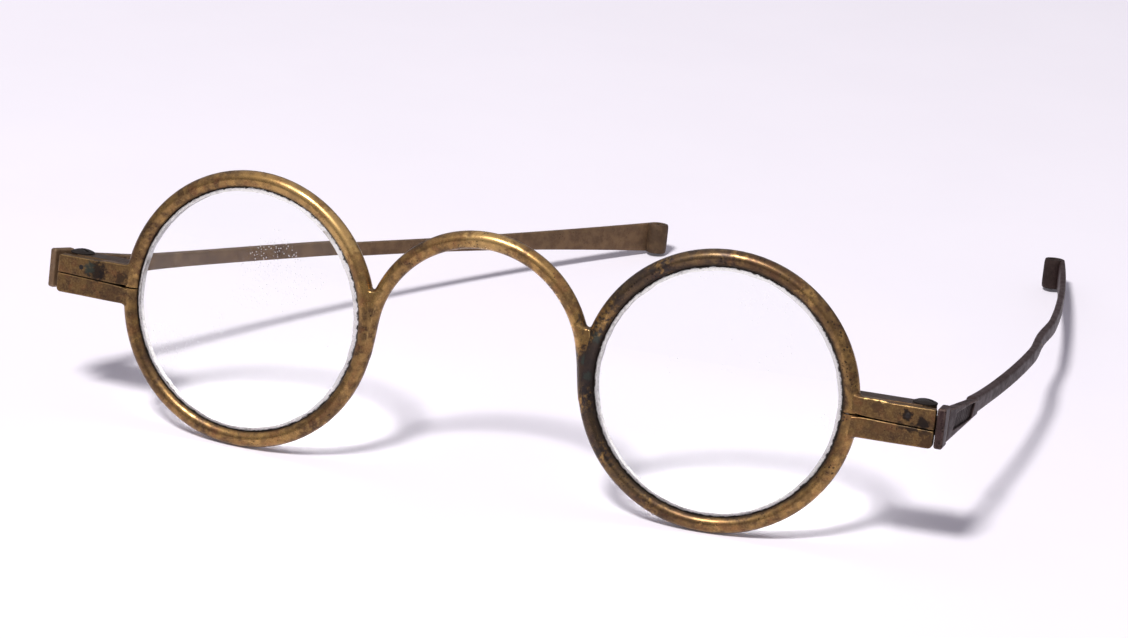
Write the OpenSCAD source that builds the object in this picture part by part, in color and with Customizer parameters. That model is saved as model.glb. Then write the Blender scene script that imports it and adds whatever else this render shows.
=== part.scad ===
// Round-eye spectacles with folding sides, standing open on a table.
// Each side of the front is drawn in its own frame: origin at the lens centre, X outwards,
// Y backwards, Z up. Each temple is drawn in the frame of its hinge: X outwards, Y along the
// temple, Z up. Lengths are in millimetres and angles in degrees.

/* [Front] */
// Distance between the two lens centres
lens_distance = 63.1; // [54:0.1:72]
// Outside diameter of each rim
rim_diameter = 35.7; // [31:0.1:40]
// Thickness of the round rim wire
rim_wire = 2.2; // [1.9:0.05:2.6]
// Angle by which each half of the front turns back
face_wrap = 4.3; // [0:0.1:8]
// Angle by which the front leans back as the spectacles stand
lean = 10; // [7:0.5:12]
// Width of the slit that lets the rim open for its lens
rim_slit = 0.2; // [0.1:0.05:0.4]

/* [Bridge] */
// Height of the bridge wire's crown above the lens centres
bridge_height = 14.1; // [11:0.1:17]
// Thickness of the bridge wire at its crown
bridge_wire = 2.05; // [1.8:0.05:2.4]
// Thickness of each leg where it ends in its rim
leg_end_wire = 1.85; // [1.2:0.05:2.1]
// Angle of the left leg from upright
leg_tilt_left = 9.5; // [8:0.1:16]
// Angle of the right leg from upright
leg_tilt_right = 11.5; // [8:0.1:16]
// Height of the solder in the notch between a leg and its rim
notch_height = 6.4; // [3:0.1:7]
// Thickness of that solder, front to back
solder_web = 1.5; // [0.8:0.1:1.8]

/* [Lenses] */
// Thickness of the glass at its edge
lens_edge = 1.5; // [1:0.1:2]
// Radius of both faces of the glass
lens_curve = 830; // [200:10:2000]
// Depth of the groove in the rim
groove_depth = 0.55; // [0.3:0.05:0.7]
// Play between the glass and the groove
lens_play = 0.04; // [0.01:0.01:0.1]

/* [End pieces] */
// Distance from the lens centre to the outer end of the end piece
end_reach = 27.45; // [25:0.05:32]
// Height of the two end plates together
end_height = 5.2; // [4.6:0.1:6.5]
// Thickness of an end plate, front to back
plate_thickness = 1.3; // [0.9:0.05:1.6]
// How far the plates lie behind the front of the rim
plate_setback = 0.1; // [0.05:0.05:0.3]
// Height of the left end piece above its lens centre
end_rise_left = 0.3; // [-0.5:0.05:0.5]
// Height of the right end piece above its lens centre
end_rise_right = -0.22; // [-0.5:0.05:0.5]
// Slope of the left parting line
parting_tilt_left = 1.7; // [-3:0.1:3]
// Slope of the right parting line
parting_tilt_right = -2.6; // [-3:0.1:3]
// Gap along the parting line
parting_gap = 0.14; // [0.05:0.01:0.3]
// Radius of the rivet that holds the joint to the upper plate
rivet_radius = 0.33; // [0.2:0.01:0.4]
// Depth to which the rivet runs into the joint
rivet_bite = 0.4; // [0.2:0.05:0.45]

/* [Hinges] */
// Distance of the hinge axis inside the outer end of the end piece
hinge_inset = 1.95; // [1.85:0.05:2.6]
// Distance of the hinge axis behind the middle of the rim
hinge_depth = 1.95; // [1.95:0.05:3]
// Radius of the knuckles
knuckle_radius = 1.5; // [1.2:0.05:1.5]
// Height of the temple's knuckle
knuckle_height = 2.1; // [1.4:0.1:2.6]
// Clearance above and below the temple's knuckle
knuckle_play = 0.06; // [0.03:0.01:0.12]
// Clearance round the temple's knuckle
well_play = 0.15; // [0.05:0.01:0.2]
// Clearance between the rim and the inner end of the joint
joint_clearance = 1.45; // [1.25:0.05:3.5]
// How far the joint stays below the top of the end plate
joint_drop = 0.1; // [0.05:0.05:0.4]
// Radius of the hinge screw's shank
screw_radius = 0.6; // [0.4:0.05:0.8]
// Running clearance of the screw in the temple's knuckle
screw_play = 0.03; // [0.01:0.01:0.08]
// Radius of the screw's head
head_radius = 1.55; // [1:0.05:1.7]
// Height of the screw's head
head_height = 0.55; // [0.3:0.05:0.9]
// Width of the slot in the screw's head
slot_width = 0.35; // [0.2:0.05:0.5]

/* [Temples] */
// Length of a temple from the hinge axis to its tip
temple_length = 106; // [90:0.5:125]
// Angle by which the left temple stands folded in
swing_left = 25.5; // [0:0.5:60]
// Angle by which the right temple stands folded in
swing_right = 0; // [0:0.5:60]
// Gap between a temple's shoulder and the end piece that stops it
stop_gap = 0.1; // [0.05:0.05:0.3]
// Thickness of the shoulder
shoulder_thickness = 1.1; // [0.8:0.05:1.5]
// Height of the shoulder
shoulder_height = 5.1; // [4.6:0.1:6]
// Height of the shoulder's middle above the hinge's middle
shoulder_lift = 0.1; // [0:0.05:0.3]
// Distance from the hinge axis back to the rear edge of the shoulder
shoulder_back = 0.3; // [0:0.1:1]
// Distance from the shoulder back to the side panel's full height
shoulder_slope = 0.3; // [0.1:0.1:1]
// Distance from the hinge axis back to the rear end of the side panel
panel_end = 12.9; // [8:0.1:20]
// Height of the side panel at its front
panel_height = 4.1; // [3:0.1:5]
// Height of the side panel at its rear end
panel_end_height = 1.9; // [1.4:0.1:2.6]
// Angle by which the side panel flares outwards
panel_flare = 7.6; // [0:0.1:12]
// Depth of the sunk field in the side panel
field_depth = 0.15; // [0.05:0.05:0.3]
// Rim of metal left round the sunk field
field_border = 0.38; // [0.25:0.01:0.6]
// How far the arm starts inside the middle of the panel
arm_inset = 0.35; // [0:0.05:0.5]
// Angle at which the left arm leaves the panel
arm_flare_left = 6.5; // [2:0.1:9]
// Angle at which the right arm leaves the panel
arm_flare_right = 7.7; // [2:0.1:9]
// Radius of the left arm's bow
arm_bow_left = 371; // [280:1:900]
// Radius of the right arm's bow
arm_bow_right = 290; // [280:1:900]
// How far the middle of the left arm hangs below a straight line
arm_dip_left = 0.35; // [-0.5:0.05:1]
// How far the middle of the right arm hangs below a straight line
arm_dip_right = -0.2; // [-0.5:0.05:1]
// Thickness of the arm at its front
arm_thickness = 1.3; // [1:0.05:1.6]
// Height of the arm along its slender length
arm_height = 1.9; // [1.4:0.1:2.6]
// Distance from the hinge axis to where the arm begins to widen
paddle_start = 60; // [40:1:80]
// Thickness of the arm at its tip
tip_thickness = 0.9; // [0.6:0.05:1.2]
// Height of the tip
tip_height = 4.4; // [3:0.1:6]
// Outside radius of the rolled eye at the tip
eye_radius = 1.5; // [1.2:0.05:1.8]
// Radius of the hole through the eye
eye_hole = 0.8; // [0.5:0.05:0.9]
// Depth of the dent in the bent right arm
dent_depth = 0.45; // [0:0.05:0.6]
// Distance from the hinge axis to that dent
dent_place = 57; // [45:1:70]
// Length of the dent along the arm
dent_length = 22; // [14:1:30]

/* [Hidden] */
$fn = 96;

LEFT = -1;
RIGHT = 1;
over = 1;

// Colours as on the old brass
brass = [0.56, 0.44, 0.25];
dark_brass = [0.38, 0.29, 0.20];
brown_patina = [0.31, 0.26, 0.24];
iron = [0.20, 0.18, 0.18];
glass = [0.85, 0.90, 0.90, 0.35];

// Front
lens_x = lens_distance / 2;
tube = rim_wire / 2;
rim_centre = rim_diameter / 2 - tube;
plate_front = -tube + plate_setback;
plate_back = plate_front + plate_thickness;
rim_cut = rim_centre + tube * 0.2;

// The lowest and the foremost reach of a ring that leans and turns back
stand_height = rim_centre * sqrt(1 - pow(cos(face_wrap) * sin(lean), 2)) + tube;
front_reach = rim_centre * sqrt(1 - pow(cos(face_wrap) * cos(lean), 2)) + tube;

// Bridge: an arc over the nose with a straight leg on each side, tangent to the rims
bridge_y = -rim_centre * sin(face_wrap);
left_share = 1 - sin(leg_tilt_left);
right_share = 1 - sin(leg_tilt_right);
left_room = lens_x * cos(leg_tilt_left) - rim_centre - bridge_height * sin(leg_tilt_left);
right_room = lens_x * cos(leg_tilt_right) - rim_centre - bridge_height * sin(leg_tilt_right);
crown_radius = (right_room * cos(leg_tilt_left) + left_room * cos(leg_tilt_right))
    / (right_share * cos(leg_tilt_left) + left_share * cos(leg_tilt_right));
crown_x = (crown_radius * left_share - left_room) / cos(leg_tilt_left);
crown_z = bridge_height - crown_radius;

// A leg starts this much slimmer than the arc, so that their faces meet in a clean edge
leg_step = 0.04;

// Lens
groove_radius = rim_centre - tube + groove_depth;
lens_radius = groove_radius - lens_play;
lens_body = lens_radius - lens_edge / 2;
lens_steps = 8;

// Hinge
hinge_reach = end_reach - hinge_inset;
joint_length = hinge_reach - rim_diameter / 2 - joint_clearance;
joint_back = hinge_depth + knuckle_radius;
joint_half = end_height / 2 - joint_drop;
well_radius = knuckle_radius + well_play;
rivet_x = hinge_reach - knuckle_radius;
rivet_z = end_height * 0.23;
head_top = joint_half + head_height;

// Temple
shoulder_x = hinge_inset + stop_gap;
shoulder_front = plate_front - hinge_depth;
shoulder_top = shoulder_height / 2 + shoulder_lift;
shoulder_foot = shoulder_height / 2 - shoulder_lift;
panel_start = shoulder_back + shoulder_slope;
panel_bend = knuckle_radius;
web_back = knuckle_radius / 3;
panel_inner_end = shoulder_x + (panel_end - panel_bend) * tan(panel_flare);
panel_outer_end = shoulder_x + shoulder_thickness + (panel_end - panel_start) * tan(panel_flare);
arm_x = (panel_inner_end + panel_outer_end) / 2 - arm_inset;
eye_y = temple_length - eye_radius;
arm_steps = 24;
flare_power = 1.9;

function rise(side) = side == LEFT ? end_rise_left : end_rise_right;
function arm_flare(side) = side == LEFT ? arm_flare_left : arm_flare_right;
function arm_dip(side) = side == LEFT ? arm_dip_left : arm_dip_right;
function arm_bow(side) = side == LEFT ? arm_bow_left : arm_bow_right;
function swing(side) = side == LEFT ? swing_left : swing_right;
function leg_tilt(side) = side == LEFT ? leg_tilt_left : leg_tilt_right;
function parting_tilt(side) = side == LEFT ? parting_tilt_left : parting_tilt_right;
function parting_z(side, x) = (x - rim_centre) * tan(parting_tilt(side));
function sag(r) = lens_curve - sqrt(lens_curve * lens_curve - r * r);

// Middle of the arm's thickness, y behind the hinge axis
function dent(side, y) =
    let (off = 2 * (y - dent_place) / dent_length)
    side == RIGHT && abs(off) < 1 ? dent_depth * (1 + cos(180 * off)) / 2 : 0;
function arm_mid(side, y) =
    let (run = y - panel_end)
    arm_x + run * tan(arm_flare(side)) - run * run / (2 * arm_bow(side)) - dent(side, y);
function arm_half(y) =
    (arm_thickness + (tip_thickness - arm_thickness) * (y - panel_end) / (eye_y - panel_end)) / 2;
function arm_tall(y) =
    let (along = max(0, y - paddle_start) / (temple_length - paddle_start))
    arm_height + (tip_height - arm_height) * pow(along, flare_power);
function eye_x(side) = arm_mid(side, eye_y) + tip_thickness / 2 - eye_radius;

// Places in the frame of the whole front, from a point in a temple's frame
function from_hinge(side, x, y) = [
    hinge_reach + x * cos(swing(side)) - y * sin(swing(side)),
    hinge_depth + x * sin(swing(side)) + y * cos(swing(side))];
function out_of(p) = lens_x + p[0] * cos(face_wrap) - p[1] * sin(face_wrap);
function back_of(p) = p[0] * sin(face_wrap) + p[1] * cos(face_wrap);

// The tip's lower rear edge lies on the table, which sets how far the temple climbs
function tip_reach(side) = back_of(from_hinge(side, eye_x(side), eye_y)) + eye_radius;
function tip_low(side) = (tip_reach(side) * sin(lean) - stand_height) / cos(lean);
function tip_mid(side) = tip_low(side) + tip_height / 2 - rise(side);
function arm_z(side, y) =
    let (along = max(0, y - panel_start) / (eye_y - panel_start))
    tip_mid(side) * along - 4 * arm_dip(side) * along * (1 - along);

arm_stations = [for (i = [0:arm_steps]) panel_end + (eye_y - panel_end) * i / arm_steps];
function arm_outer(side) = [for (y = arm_stations) [arm_mid(side, y) + arm_half(y), y]];
function arm_inner(side) = [for (y = arm_stations) [arm_mid(side, y) - arm_half(y), y]];

// Centre of the box that holds the spectacles as they stand
function side_reach(side) = max([
    for (p = concat(arm_outer(side), [
        [panel_outer_end, panel_end],
        [shoulder_x + shoulder_thickness, shoulder_front],
        [shoulder_x + shoulder_thickness, panel_start]]))
    out_of(from_hinge(side, p[0], p[1]))]);
function tip_back(side) =
    tip_reach(side) * cos(lean) + (tip_low(side) + tip_height) * sin(lean);
box_x = (side_reach(RIGHT) - side_reach(LEFT)) / 2;
box_y = (max(tip_back(LEFT), tip_back(RIGHT)) - front_reach) / 2;

module in_front() {
    translate([-box_x, -box_y, stand_height]) rotate([-lean, 0, 0]) children();
}

module on_side(side) {
    in_front() translate([side * lens_x, 0, 0]) rotate([0, 0, side * face_wrap])
        mirror([side == LEFT ? 1 : 0, 0, 0]) children();
}

module on_temple(side) {
    on_side(side) translate([hinge_reach, hinge_depth, rise(side)])
        rotate([0, 0, swing(side)]) children();
}

// A shape drawn in X and Z, given a thickness from y_front to y_back
module plate_between(y_front, y_back) {
    translate([0, y_back, 0]) rotate([90, 0, 0]) linear_extrude(y_back - y_front) children();
}

// A shape drawn in Y and Z, given a thickness across X
module slab_across(x_low, x_high) {
    translate([x_low, 0, 0]) rotate([90, 0, 90]) linear_extrude(x_high - x_low) children();
}

module ring() {
    rotate([90, 0, 0]) rotate_extrude() translate([rim_centre, 0]) circle(r = tube);
}

module rim(side) {
    color(brass) on_side(side) difference() {
        rotate([90, 0, 0]) rotate_extrude() difference() {
            translate([rim_centre, 0]) circle(r = tube);
            polygon([[groove_radius - over, -over], [groove_radius, 0],
                [groove_radius - over, over]]);
        }
        translate([rim_centre - 2 * tube, -2 * tube, -rim_slit / 2])
            cube([4 * tube, 4 * tube, rim_slit]);
    }
}

module lens(side) {
    face = [for (i = [0:lens_steps]) let (r = lens_body * i / lens_steps)
        [r, lens_edge / 2 + sag(lens_body) - sag(r)]];
    back = [for (i = [lens_steps:-1:0]) [face[i][0], -face[i][1]]];
    color(glass) on_side(side) rotate([90, 0, 0])
        rotate_extrude() polygon(concat(face, [[lens_radius, 0]], back));
}

// One leg with the solder between it and the rim, in the plane of the bridge
module bridge_leg(side) {
    tilt = leg_tilt(side);
    spread = side * crown_x;
    inward = -leg_end_wire / 4 * [cos(tilt), sin(tilt)];
    top = [spread + crown_radius * cos(tilt), crown_z + crown_radius * sin(tilt)];
    foot = [lens_x - rim_centre * cos(tilt), -rim_centre * sin(tilt)];
    leg_length = norm(top - foot);
    notch_leg = spread + sqrt(pow(crown_radius, 2) - pow(notch_height - crown_z, 2));
    notch_rim = lens_x - sqrt(pow(rim_centre, 2) - pow(notch_height, 2));
    mirror([side == LEFT ? 1 : 0, 0, 0]) {
        translate([foot[0], 0, foot[1]]) rotate([0, -tilt, 0])
            cylinder(h = leg_length, d1 = leg_end_wire, d2 = bridge_wire - leg_step);
        plate_between(-solder_web / 2, solder_web / 2) polygon([
            foot + inward, top + inward, [notch_leg, notch_height],
            [notch_rim, notch_height], [lens_x - rim_centre, 0]]);
    }
}

module bridge() {
    sweep = 180 - leg_tilt_left - leg_tilt_right;
    color(brass) {
        in_front() translate([crown_x, bridge_y, crown_z]) rotate([90, 0, 0])
            rotate([0, 0, leg_tilt_right]) rotate_extrude(angle = sweep)
                translate([crown_radius, 0]) circle(d = bridge_wire);
        for (side = [LEFT, RIGHT]) difference() {
            in_front() translate([0, bridge_y, 0]) bridge_leg(side);
            on_side(side) plate_between(-over * 3, over * 3) circle(r = rim_centre);
        }
    }
}

// One end plate, soldered to its end of the split rim; half is 1 above the parting line
module end_plate(side, half) {
    level = rise(side) + half * end_height / 2;
    gap = half * parting_gap / 2;
    start = rim_centre - over;
    color(brass) on_side(side) difference() {
        plate_between(plate_front, plate_back) polygon([
            [start, parting_z(side, start) + gap],
            [end_reach, parting_z(side, end_reach) + gap],
            [end_reach, level], [start, level]]);
        plate_between(plate_front - over, plate_back + over) circle(r = rim_cut);
        ring();
        if (half > 0) rivet_shape(side);
    }
}

module rivet_shape(side) {
    translate([rivet_x, plate_back + rivet_bite, rise(side) + rivet_z]) rotate([90, 0, 0])
        cylinder(h = plate_thickness + rivet_bite, r = rivet_radius);
}

module rivet(side) {
    color(iron) on_side(side) rivet_shape(side);
}

// One leaf of the joint, with its knuckle; the well holds the temple's knuckle
module joint_leaf(side, half) {
    well = knuckle_height / 2 + knuckle_play;
    color(dark_brass) on_side(side) difference() {
        translate([hinge_reach, hinge_depth, rise(side)]) mirror([0, 0, half > 0 ? 0 : 1])
            difference() {
                translate([0, 0, parting_gap / 2]) linear_extrude(joint_half - parting_gap / 2)
                    union() {
                        circle(r = knuckle_radius);
                        translate([-joint_length, plate_back - hinge_depth])
                            square([joint_length, joint_back - plate_back]);
                    }
                translate([0, 0, -over]) cylinder(h = over + well, r = well_radius);
                translate([0, 0, -over]) cylinder(h = joint_half + 2 * over, r = screw_radius);
            }
        if (half > 0) rivet_shape(side);
    }
}

module hinge_screw(side) {
    color(iron) on_side(side) translate([hinge_reach, hinge_depth, rise(side)]) difference() {
        union() {
            translate([0, 0, -joint_half]) cylinder(h = 2 * joint_half, r = screw_radius);
            translate([0, 0, joint_half]) cylinder(h = head_height, r = head_radius);
        }
        translate([-2 * head_radius, -slot_width / 2, head_top - head_height / 2])
            cube([4 * head_radius, slot_width, head_height]);
    }
}

// Knuckle, shoulder and side panel of a temple, in one piece
module temple_joint(side) {
    half_web = knuckle_height / 2;
    outer = shoulder_x + shoulder_thickness;
    notch = shoulder_thickness * 0.2;
    end_z = arm_z(side, panel_end);
    field_front = panel_start + field_border * 3;
    field_back = panel_end - field_border * 2;
    color(brown_patina) on_temple(side) difference() {
        union() {
            intersection() {
                translate([0, 0, -shoulder_height]) linear_extrude(2 * shoulder_height) polygon([
                    [shoulder_x, shoulder_front], [shoulder_x, panel_bend],
                    [panel_inner_end, panel_end], [panel_outer_end, panel_end],
                    [outer, panel_start], [outer, shoulder_back],
                    [outer - notch, shoulder_back - notch / 2],
                    [outer, shoulder_back - notch], [outer, shoulder_front]]);
                slab_across(0, 3 * outer) polygon([
                    [shoulder_front, -shoulder_foot], [shoulder_back, -shoulder_foot],
                    [panel_start, -panel_height / 2], [panel_end, end_z - panel_end_height / 2],
                    [panel_end, end_z + panel_end_height / 2], [panel_start, panel_height / 2],
                    [shoulder_back, shoulder_top], [shoulder_front, shoulder_top]]);
            }
            translate([0, 0, -half_web]) cylinder(h = knuckle_height, r = knuckle_radius);
            translate([0, -knuckle_radius, -half_web])
                cube([shoulder_x + over / 2, knuckle_radius + web_back, knuckle_height]);
        }
        translate([0, 0, -knuckle_height]) cylinder(h = 2 * knuckle_height,
            r = screw_radius + screw_play);
        translate([outer, panel_start, 0]) rotate([0, 0, -panel_flare])
            slab_across(-field_depth, over) polygon([
                for (corner = [[field_front, -1], [field_back, -1], [field_back, 1],
                    [field_front, 1]])
                let (share = (corner[0] - panel_start) / (panel_end - panel_start),
                    tall = panel_height + (panel_end_height - panel_height) * share)
                [corner[0] - panel_start,
                    arm_z(side, corner[0]) + corner[1] * (tall / 2 - field_border)]]);
    }
}

// Slender arm that widens to a paddle, its end rolled inwards to a small eye
module temple_arm(side) {
    lower = [for (y = arm_stations) [y, arm_z(side, y) - arm_tall(y) / 2]];
    upper = [for (i = [arm_steps:-1:0]) let (y = arm_stations[i])
        [y, arm_z(side, y) + arm_tall(y) / 2]];
    inner = arm_inner(side);
    color(brown_patina) on_temple(side) difference() {
        union() {
            intersection() {
                translate([0, 0, -tip_height * 2]) linear_extrude(tip_height * 4)
                    polygon(concat(arm_outer(side), [for (i = [arm_steps:-1:0]) inner[i]]));
                slab_across(-2 * eye_radius, 4 * arm_x) polygon(concat(lower, upper));
            }
            translate([eye_x(side), eye_y, tip_mid(side) - tip_height / 2])
                cylinder(h = tip_height, r = eye_radius);
        }
        translate([eye_x(side), eye_y, tip_mid(side) - tip_height])
            cylinder(h = 2 * tip_height, r = eye_hole);
    }
}

rim(LEFT);  // rim_left
rim(RIGHT);  // rim_right
lens(LEFT);  // lens_left
lens(RIGHT);  // lens_right
bridge();
end_plate(LEFT, 1);  // upper_plate_left
end_plate(RIGHT, 1);  // upper_plate_right
end_plate(LEFT, -1);  // lower_plate_left
end_plate(RIGHT, -1);  // lower_plate_right
joint_leaf(LEFT, 1);  // upper_joint_left
joint_leaf(RIGHT, 1);  // upper_joint_right
joint_leaf(LEFT, -1);  // lower_joint_left
joint_leaf(RIGHT, -1);  // lower_joint_right
rivet(LEFT);  // rivet_left
rivet(RIGHT);  // rivet_right
hinge_screw(LEFT);  // hinge_screw_left
hinge_screw(RIGHT);  // hinge_screw_right
temple_joint(LEFT);  // temple_joint_left
temple_joint(RIGHT);  // temple_joint_right
temple_arm(LEFT);  // temple_arm_left
temple_arm(RIGHT);  // temple_arm_right
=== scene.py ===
"""Round-eye spectacles with folding sides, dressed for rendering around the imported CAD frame.

Sizes are held in metres, and the shapes are worked out in millimetres. Each side of the front has
its own frame (X outwards, Y backwards, Z up, from the lens centre) and each temple has the frame
of its hinge (X outwards, Y along the temple, Z up).
"""

import math
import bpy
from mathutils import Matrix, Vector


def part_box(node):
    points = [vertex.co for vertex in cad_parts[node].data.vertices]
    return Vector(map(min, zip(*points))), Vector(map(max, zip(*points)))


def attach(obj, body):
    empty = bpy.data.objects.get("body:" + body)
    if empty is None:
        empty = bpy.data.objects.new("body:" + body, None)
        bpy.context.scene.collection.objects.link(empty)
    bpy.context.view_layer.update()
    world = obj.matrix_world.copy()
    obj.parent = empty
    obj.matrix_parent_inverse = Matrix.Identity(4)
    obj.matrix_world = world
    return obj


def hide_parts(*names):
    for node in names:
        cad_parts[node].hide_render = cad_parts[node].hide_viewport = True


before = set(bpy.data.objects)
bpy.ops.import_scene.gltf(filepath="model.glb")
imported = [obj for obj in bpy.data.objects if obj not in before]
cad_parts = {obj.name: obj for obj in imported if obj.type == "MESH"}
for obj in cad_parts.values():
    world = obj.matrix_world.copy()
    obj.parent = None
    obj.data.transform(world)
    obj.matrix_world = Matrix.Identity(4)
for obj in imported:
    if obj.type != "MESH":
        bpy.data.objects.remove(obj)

from types import SimpleNamespace

import bmesh
import bpy
import numpy as np
from mathutils import Matrix, Vector

bl_info = {
    "name": "Round-eye spectacles",
    "version": (1, 0, 0),
    "blender": (4, 5, 0),
    "location": "View3D > Sidebar > Spectacles",
    "description": "Builds old brass spectacles with round lenses and folding temples",
    "category": "Object",
}

LEFT, RIGHT = -1, 1
SIDES = {LEFT: "left", RIGHT: "right"}
HALVES = {1: "upper", -1: "lower"}
MM = 1000.0
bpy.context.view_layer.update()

# For the distance fields, in millimetres
FAR = 9.0                                # beyond every shape
COARSE, MEDIUM, FINE = 0.19, 0.13, 0.12  # cells of a skin
BEND_STEP = 0.14                         # how far off a bend is felt
WEAR_FROM, WEAR_OVER = 1.6, 3.5          # bend at which edges are rubbed
# How strongly a corner must bend inwards before it is darkened with the grime colour
CORNER_DARK_FROM, CORNER_DARK_OVER = 0.5, 2.0        # bend at which corners are dirty
RIM_INSET = 0.04                         # how far solder starts inside the rim wire


# Sizes and colours

def length(name, description, millimetres):
    return bpy.props.FloatProperty(
        name=name, description=description, default=millimetres / MM,
        subtype="DISTANCE", unit="LENGTH", precision=5)


def turn(name, description, degrees):
    return bpy.props.FloatProperty(
        name=name, description=description, default=math.radians(degrees),
        subtype="ANGLE", unit="ROTATION")


def tint(name, description, red, green, blue):
    """A colour property, given as it looks on a screen, from 0 to 255."""
    linear = [((c / 255 + 0.055) / 1.055) ** 2.4 for c in (red, green, blue)]
    return bpy.props.FloatVectorProperty(
        name=name, description=description, size=3, subtype="COLOR",
        min=0.0, max=1.0, default=linear)


class FrontSizes(bpy.types.PropertyGroup):
    lens_distance: length("Lens distance", "Between the two lens centres", 63.1)
    rim_radius: length("Rim radius", "From the lens centre to the middle of the wire", 16.75)
    wire_radius: length("Wire radius", "Radius of the rim wire", 1.1)
    rim_slit: length("Slit", "Gap between the two ends of a rim", 0.2)
    groove_depth: length("Groove depth", "Depth of the groove that holds the glass", 0.55)
    wrap: turn("Wrap", "Angle by which each half of the front turns back", 4.3)
    lean: turn("Lean", "Angle by which the front leans back", 10.0)
    crown_height: length("Crown height", "From the lens centres up to the bridge wire", 14.1)
    crown_wire: length("Crown wire", "Radius of the bridge wire at its crown", 1.13)
    haunch_wire: length("Haunch wire", "Radius of the bridge wire above the legs", 0.95)
    leg_wire: length("Leg wire", "Radius of a leg where it ends in its rim", 0.86)
    leg_tilt_left: turn("Left leg tilt", "Angle of the left leg from upright", 9.5)
    leg_tilt_right: turn("Right leg tilt", "Angle of the right leg from upright", 11.5)
    solder_blend: length("Solder", "Width of the solder between legs and rims", 0.7)
    notch_height: length("Notch height", "Top of the solder in the notch", 5.2)
    notch_foot: length("Notch foot", "Lower end of the solder in the notch", -5.0)
    web: length("Web", "Half the thickness of the solder in the notch", 0.7)


class EndSizes(bpy.types.PropertyGroup):
    reach: length("Reach", "From the lens centre to the end of the end piece", 27.45)
    height: length("Height", "Height of the two end plates together", 5.2)
    front: length("Front", "Front face of the plates, from the middle of the rim", -1.0)
    thickness: length("Thickness", "Thickness of an end plate", 1.3)
    rise_left: length("Left rise", "Height of the left end piece at its middle", 0.3)
    rise_right: length("Right rise", "Height of the right end piece at its middle", -0.22)
    tilt_left: turn("Left parting tilt", "Slope of the left parting line", 1.7)
    tilt_right: turn("Right parting tilt", "Slope of the right parting line", -2.6)
    gap: length("Parting gap", "Gap along the parting line", 0.14)
    blend: length("Solder", "Width of the solder between plate and rim", 0.55)
    rounding: length("Rounding", "Radius of the worn edges", 0.24)
    corner: length("Corner", "Radius of the worn corners at the outer end", 0.75)
    dip: length("Dip", "How far the upper edge is worn down past the solder", 0.22)


class HingeSizes(bpy.types.PropertyGroup):
    reach: length("Reach", "From the lens centre to the hinge axis", 25.5)
    depth: length("Depth", "From the middle of the rim back to the hinge axis", 1.95)
    knuckle: length("Knuckle", "Radius of the knuckles", 1.5)
    middle_height: length("Middle knuckle", "Height of the temple's knuckle", 2.1)
    play: length("Play", "Clearance above the temple's knuckle", 0.06)
    leaf_length: length("Leaf length", "From a leaf's inner end to the hinge axis", 9.0)
    half_height: length("Half height", "Height of one leaf", 2.5)
    well: length("Well", "Radius of the space for the temple's knuckle", 1.65)
    shank: length("Shank", "Radius of the screw's shank", 0.6)
    bore_play: length("Bore play", "Clearance round the shank in the temple", 0.03)
    head: length("Head", "Radius of the screw's head", 1.55)
    head_height: length("Head height", "Height of the screw's head", 0.55)
    slot: length("Slot", "Width of the slot in the head", 0.35)
    rivet: length("Rivet", "Radius of the rivet", 0.33)
    rivet_length: length("Rivet length", "Length of the rivet behind its head", 1.6)


class TempleSizes(bpy.types.PropertyGroup):
    swing_left: turn("Left swing", "Angle by which the left temple stands folded in", 25.5)
    whole: length("Length", "From the hinge axis to the tip", 106.0)
    shoulder_x: length("Shoulder offset", "From the hinge axis out to the shoulder", 2.05)
    shoulder_front: length("Shoulder front", "Front edge of the shoulder", -2.95)
    shoulder_back: length("Shoulder back", "Rear edge of the shoulder", 0.3)
    shoulder_thickness: length("Shoulder thickness", "Thickness of the shoulder", 1.1)
    shoulder_height: length("Shoulder height", "Height of the shoulder", 5.1)
    shoulder_lift: length("Shoulder lift", "Height of the shoulder's middle", 0.1)
    panel_start: length("Panel start", "Front edge of the side panel", 0.6)
    panel_end: length("Panel end", "Rear end of the side panel", 12.9)
    panel_height: length("Panel height", "Height of the panel at its front", 4.1)
    panel_end_height: length("Panel end height", "Height of the panel at its rear", 1.9)
    panel_flare: turn("Panel flare", "Angle by which the panel flares outwards", 7.6)
    field_depth: length("Field depth", "Depth of the sunk field in the panel", 0.3)
    field_border: length("Field border", "Least metal left above and below the field", 0.28)
    field_height: length("Field height", "Height of the sunk field", 2.0)
    field_start: length("Field start", "Front end of the sunk field", 3.1)
    field_end: length("Field end", "Rear end of the sunk field", 10.9)
    field_slant: turn("Field slant", "Angle of the field's ends from upright", 31.0)
    arm_inset: length("Arm inset", "From the middle of the panel in to the arm", 0.35)
    flare_left: turn("Left flare", "Angle at which the left arm leaves the panel", 6.5)
    flare_right: turn("Right flare", "Angle at which the right arm leaves the panel", 7.7)
    bow_left: length("Left bow", "Radius of the left arm's bow", 371.0)
    bow_right: length("Right bow", "Radius of the right arm's bow", 290.0)
    dip_left: length("Left dip", "Sag of the left arm below a straight line", 0.35)
    dip_right: length("Right dip", "Sag of the right arm below a straight line", -0.2)
    arm_thickness: length("Arm thickness", "Thickness of the arm at its front", 1.3)
    arm_height: length("Arm height", "Height of the arm along its slender length", 1.9)
    paddle_start: length("Paddle start", "Where the arm begins to widen", 60.0)
    tip_thickness: length("Tip thickness", "Thickness of the arm at its tip", 0.9)
    tip_height: length("Tip height", "Height of the tip", 4.4)
    eye_radius: length("Eye radius", "Outside radius of the rolled eye", 1.5)
    eye_hole: length("Eye hole", "Radius of the hole through the eye", 0.8)
    dent_depth: length("Dent depth", "Depth of the dent in the right arm", 0.45)
    dent_place: length("Dent place", "From the hinge axis to that dent", 57.0)
    dent_length: length("Dent length", "Length of that dent", 22.0)


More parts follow.
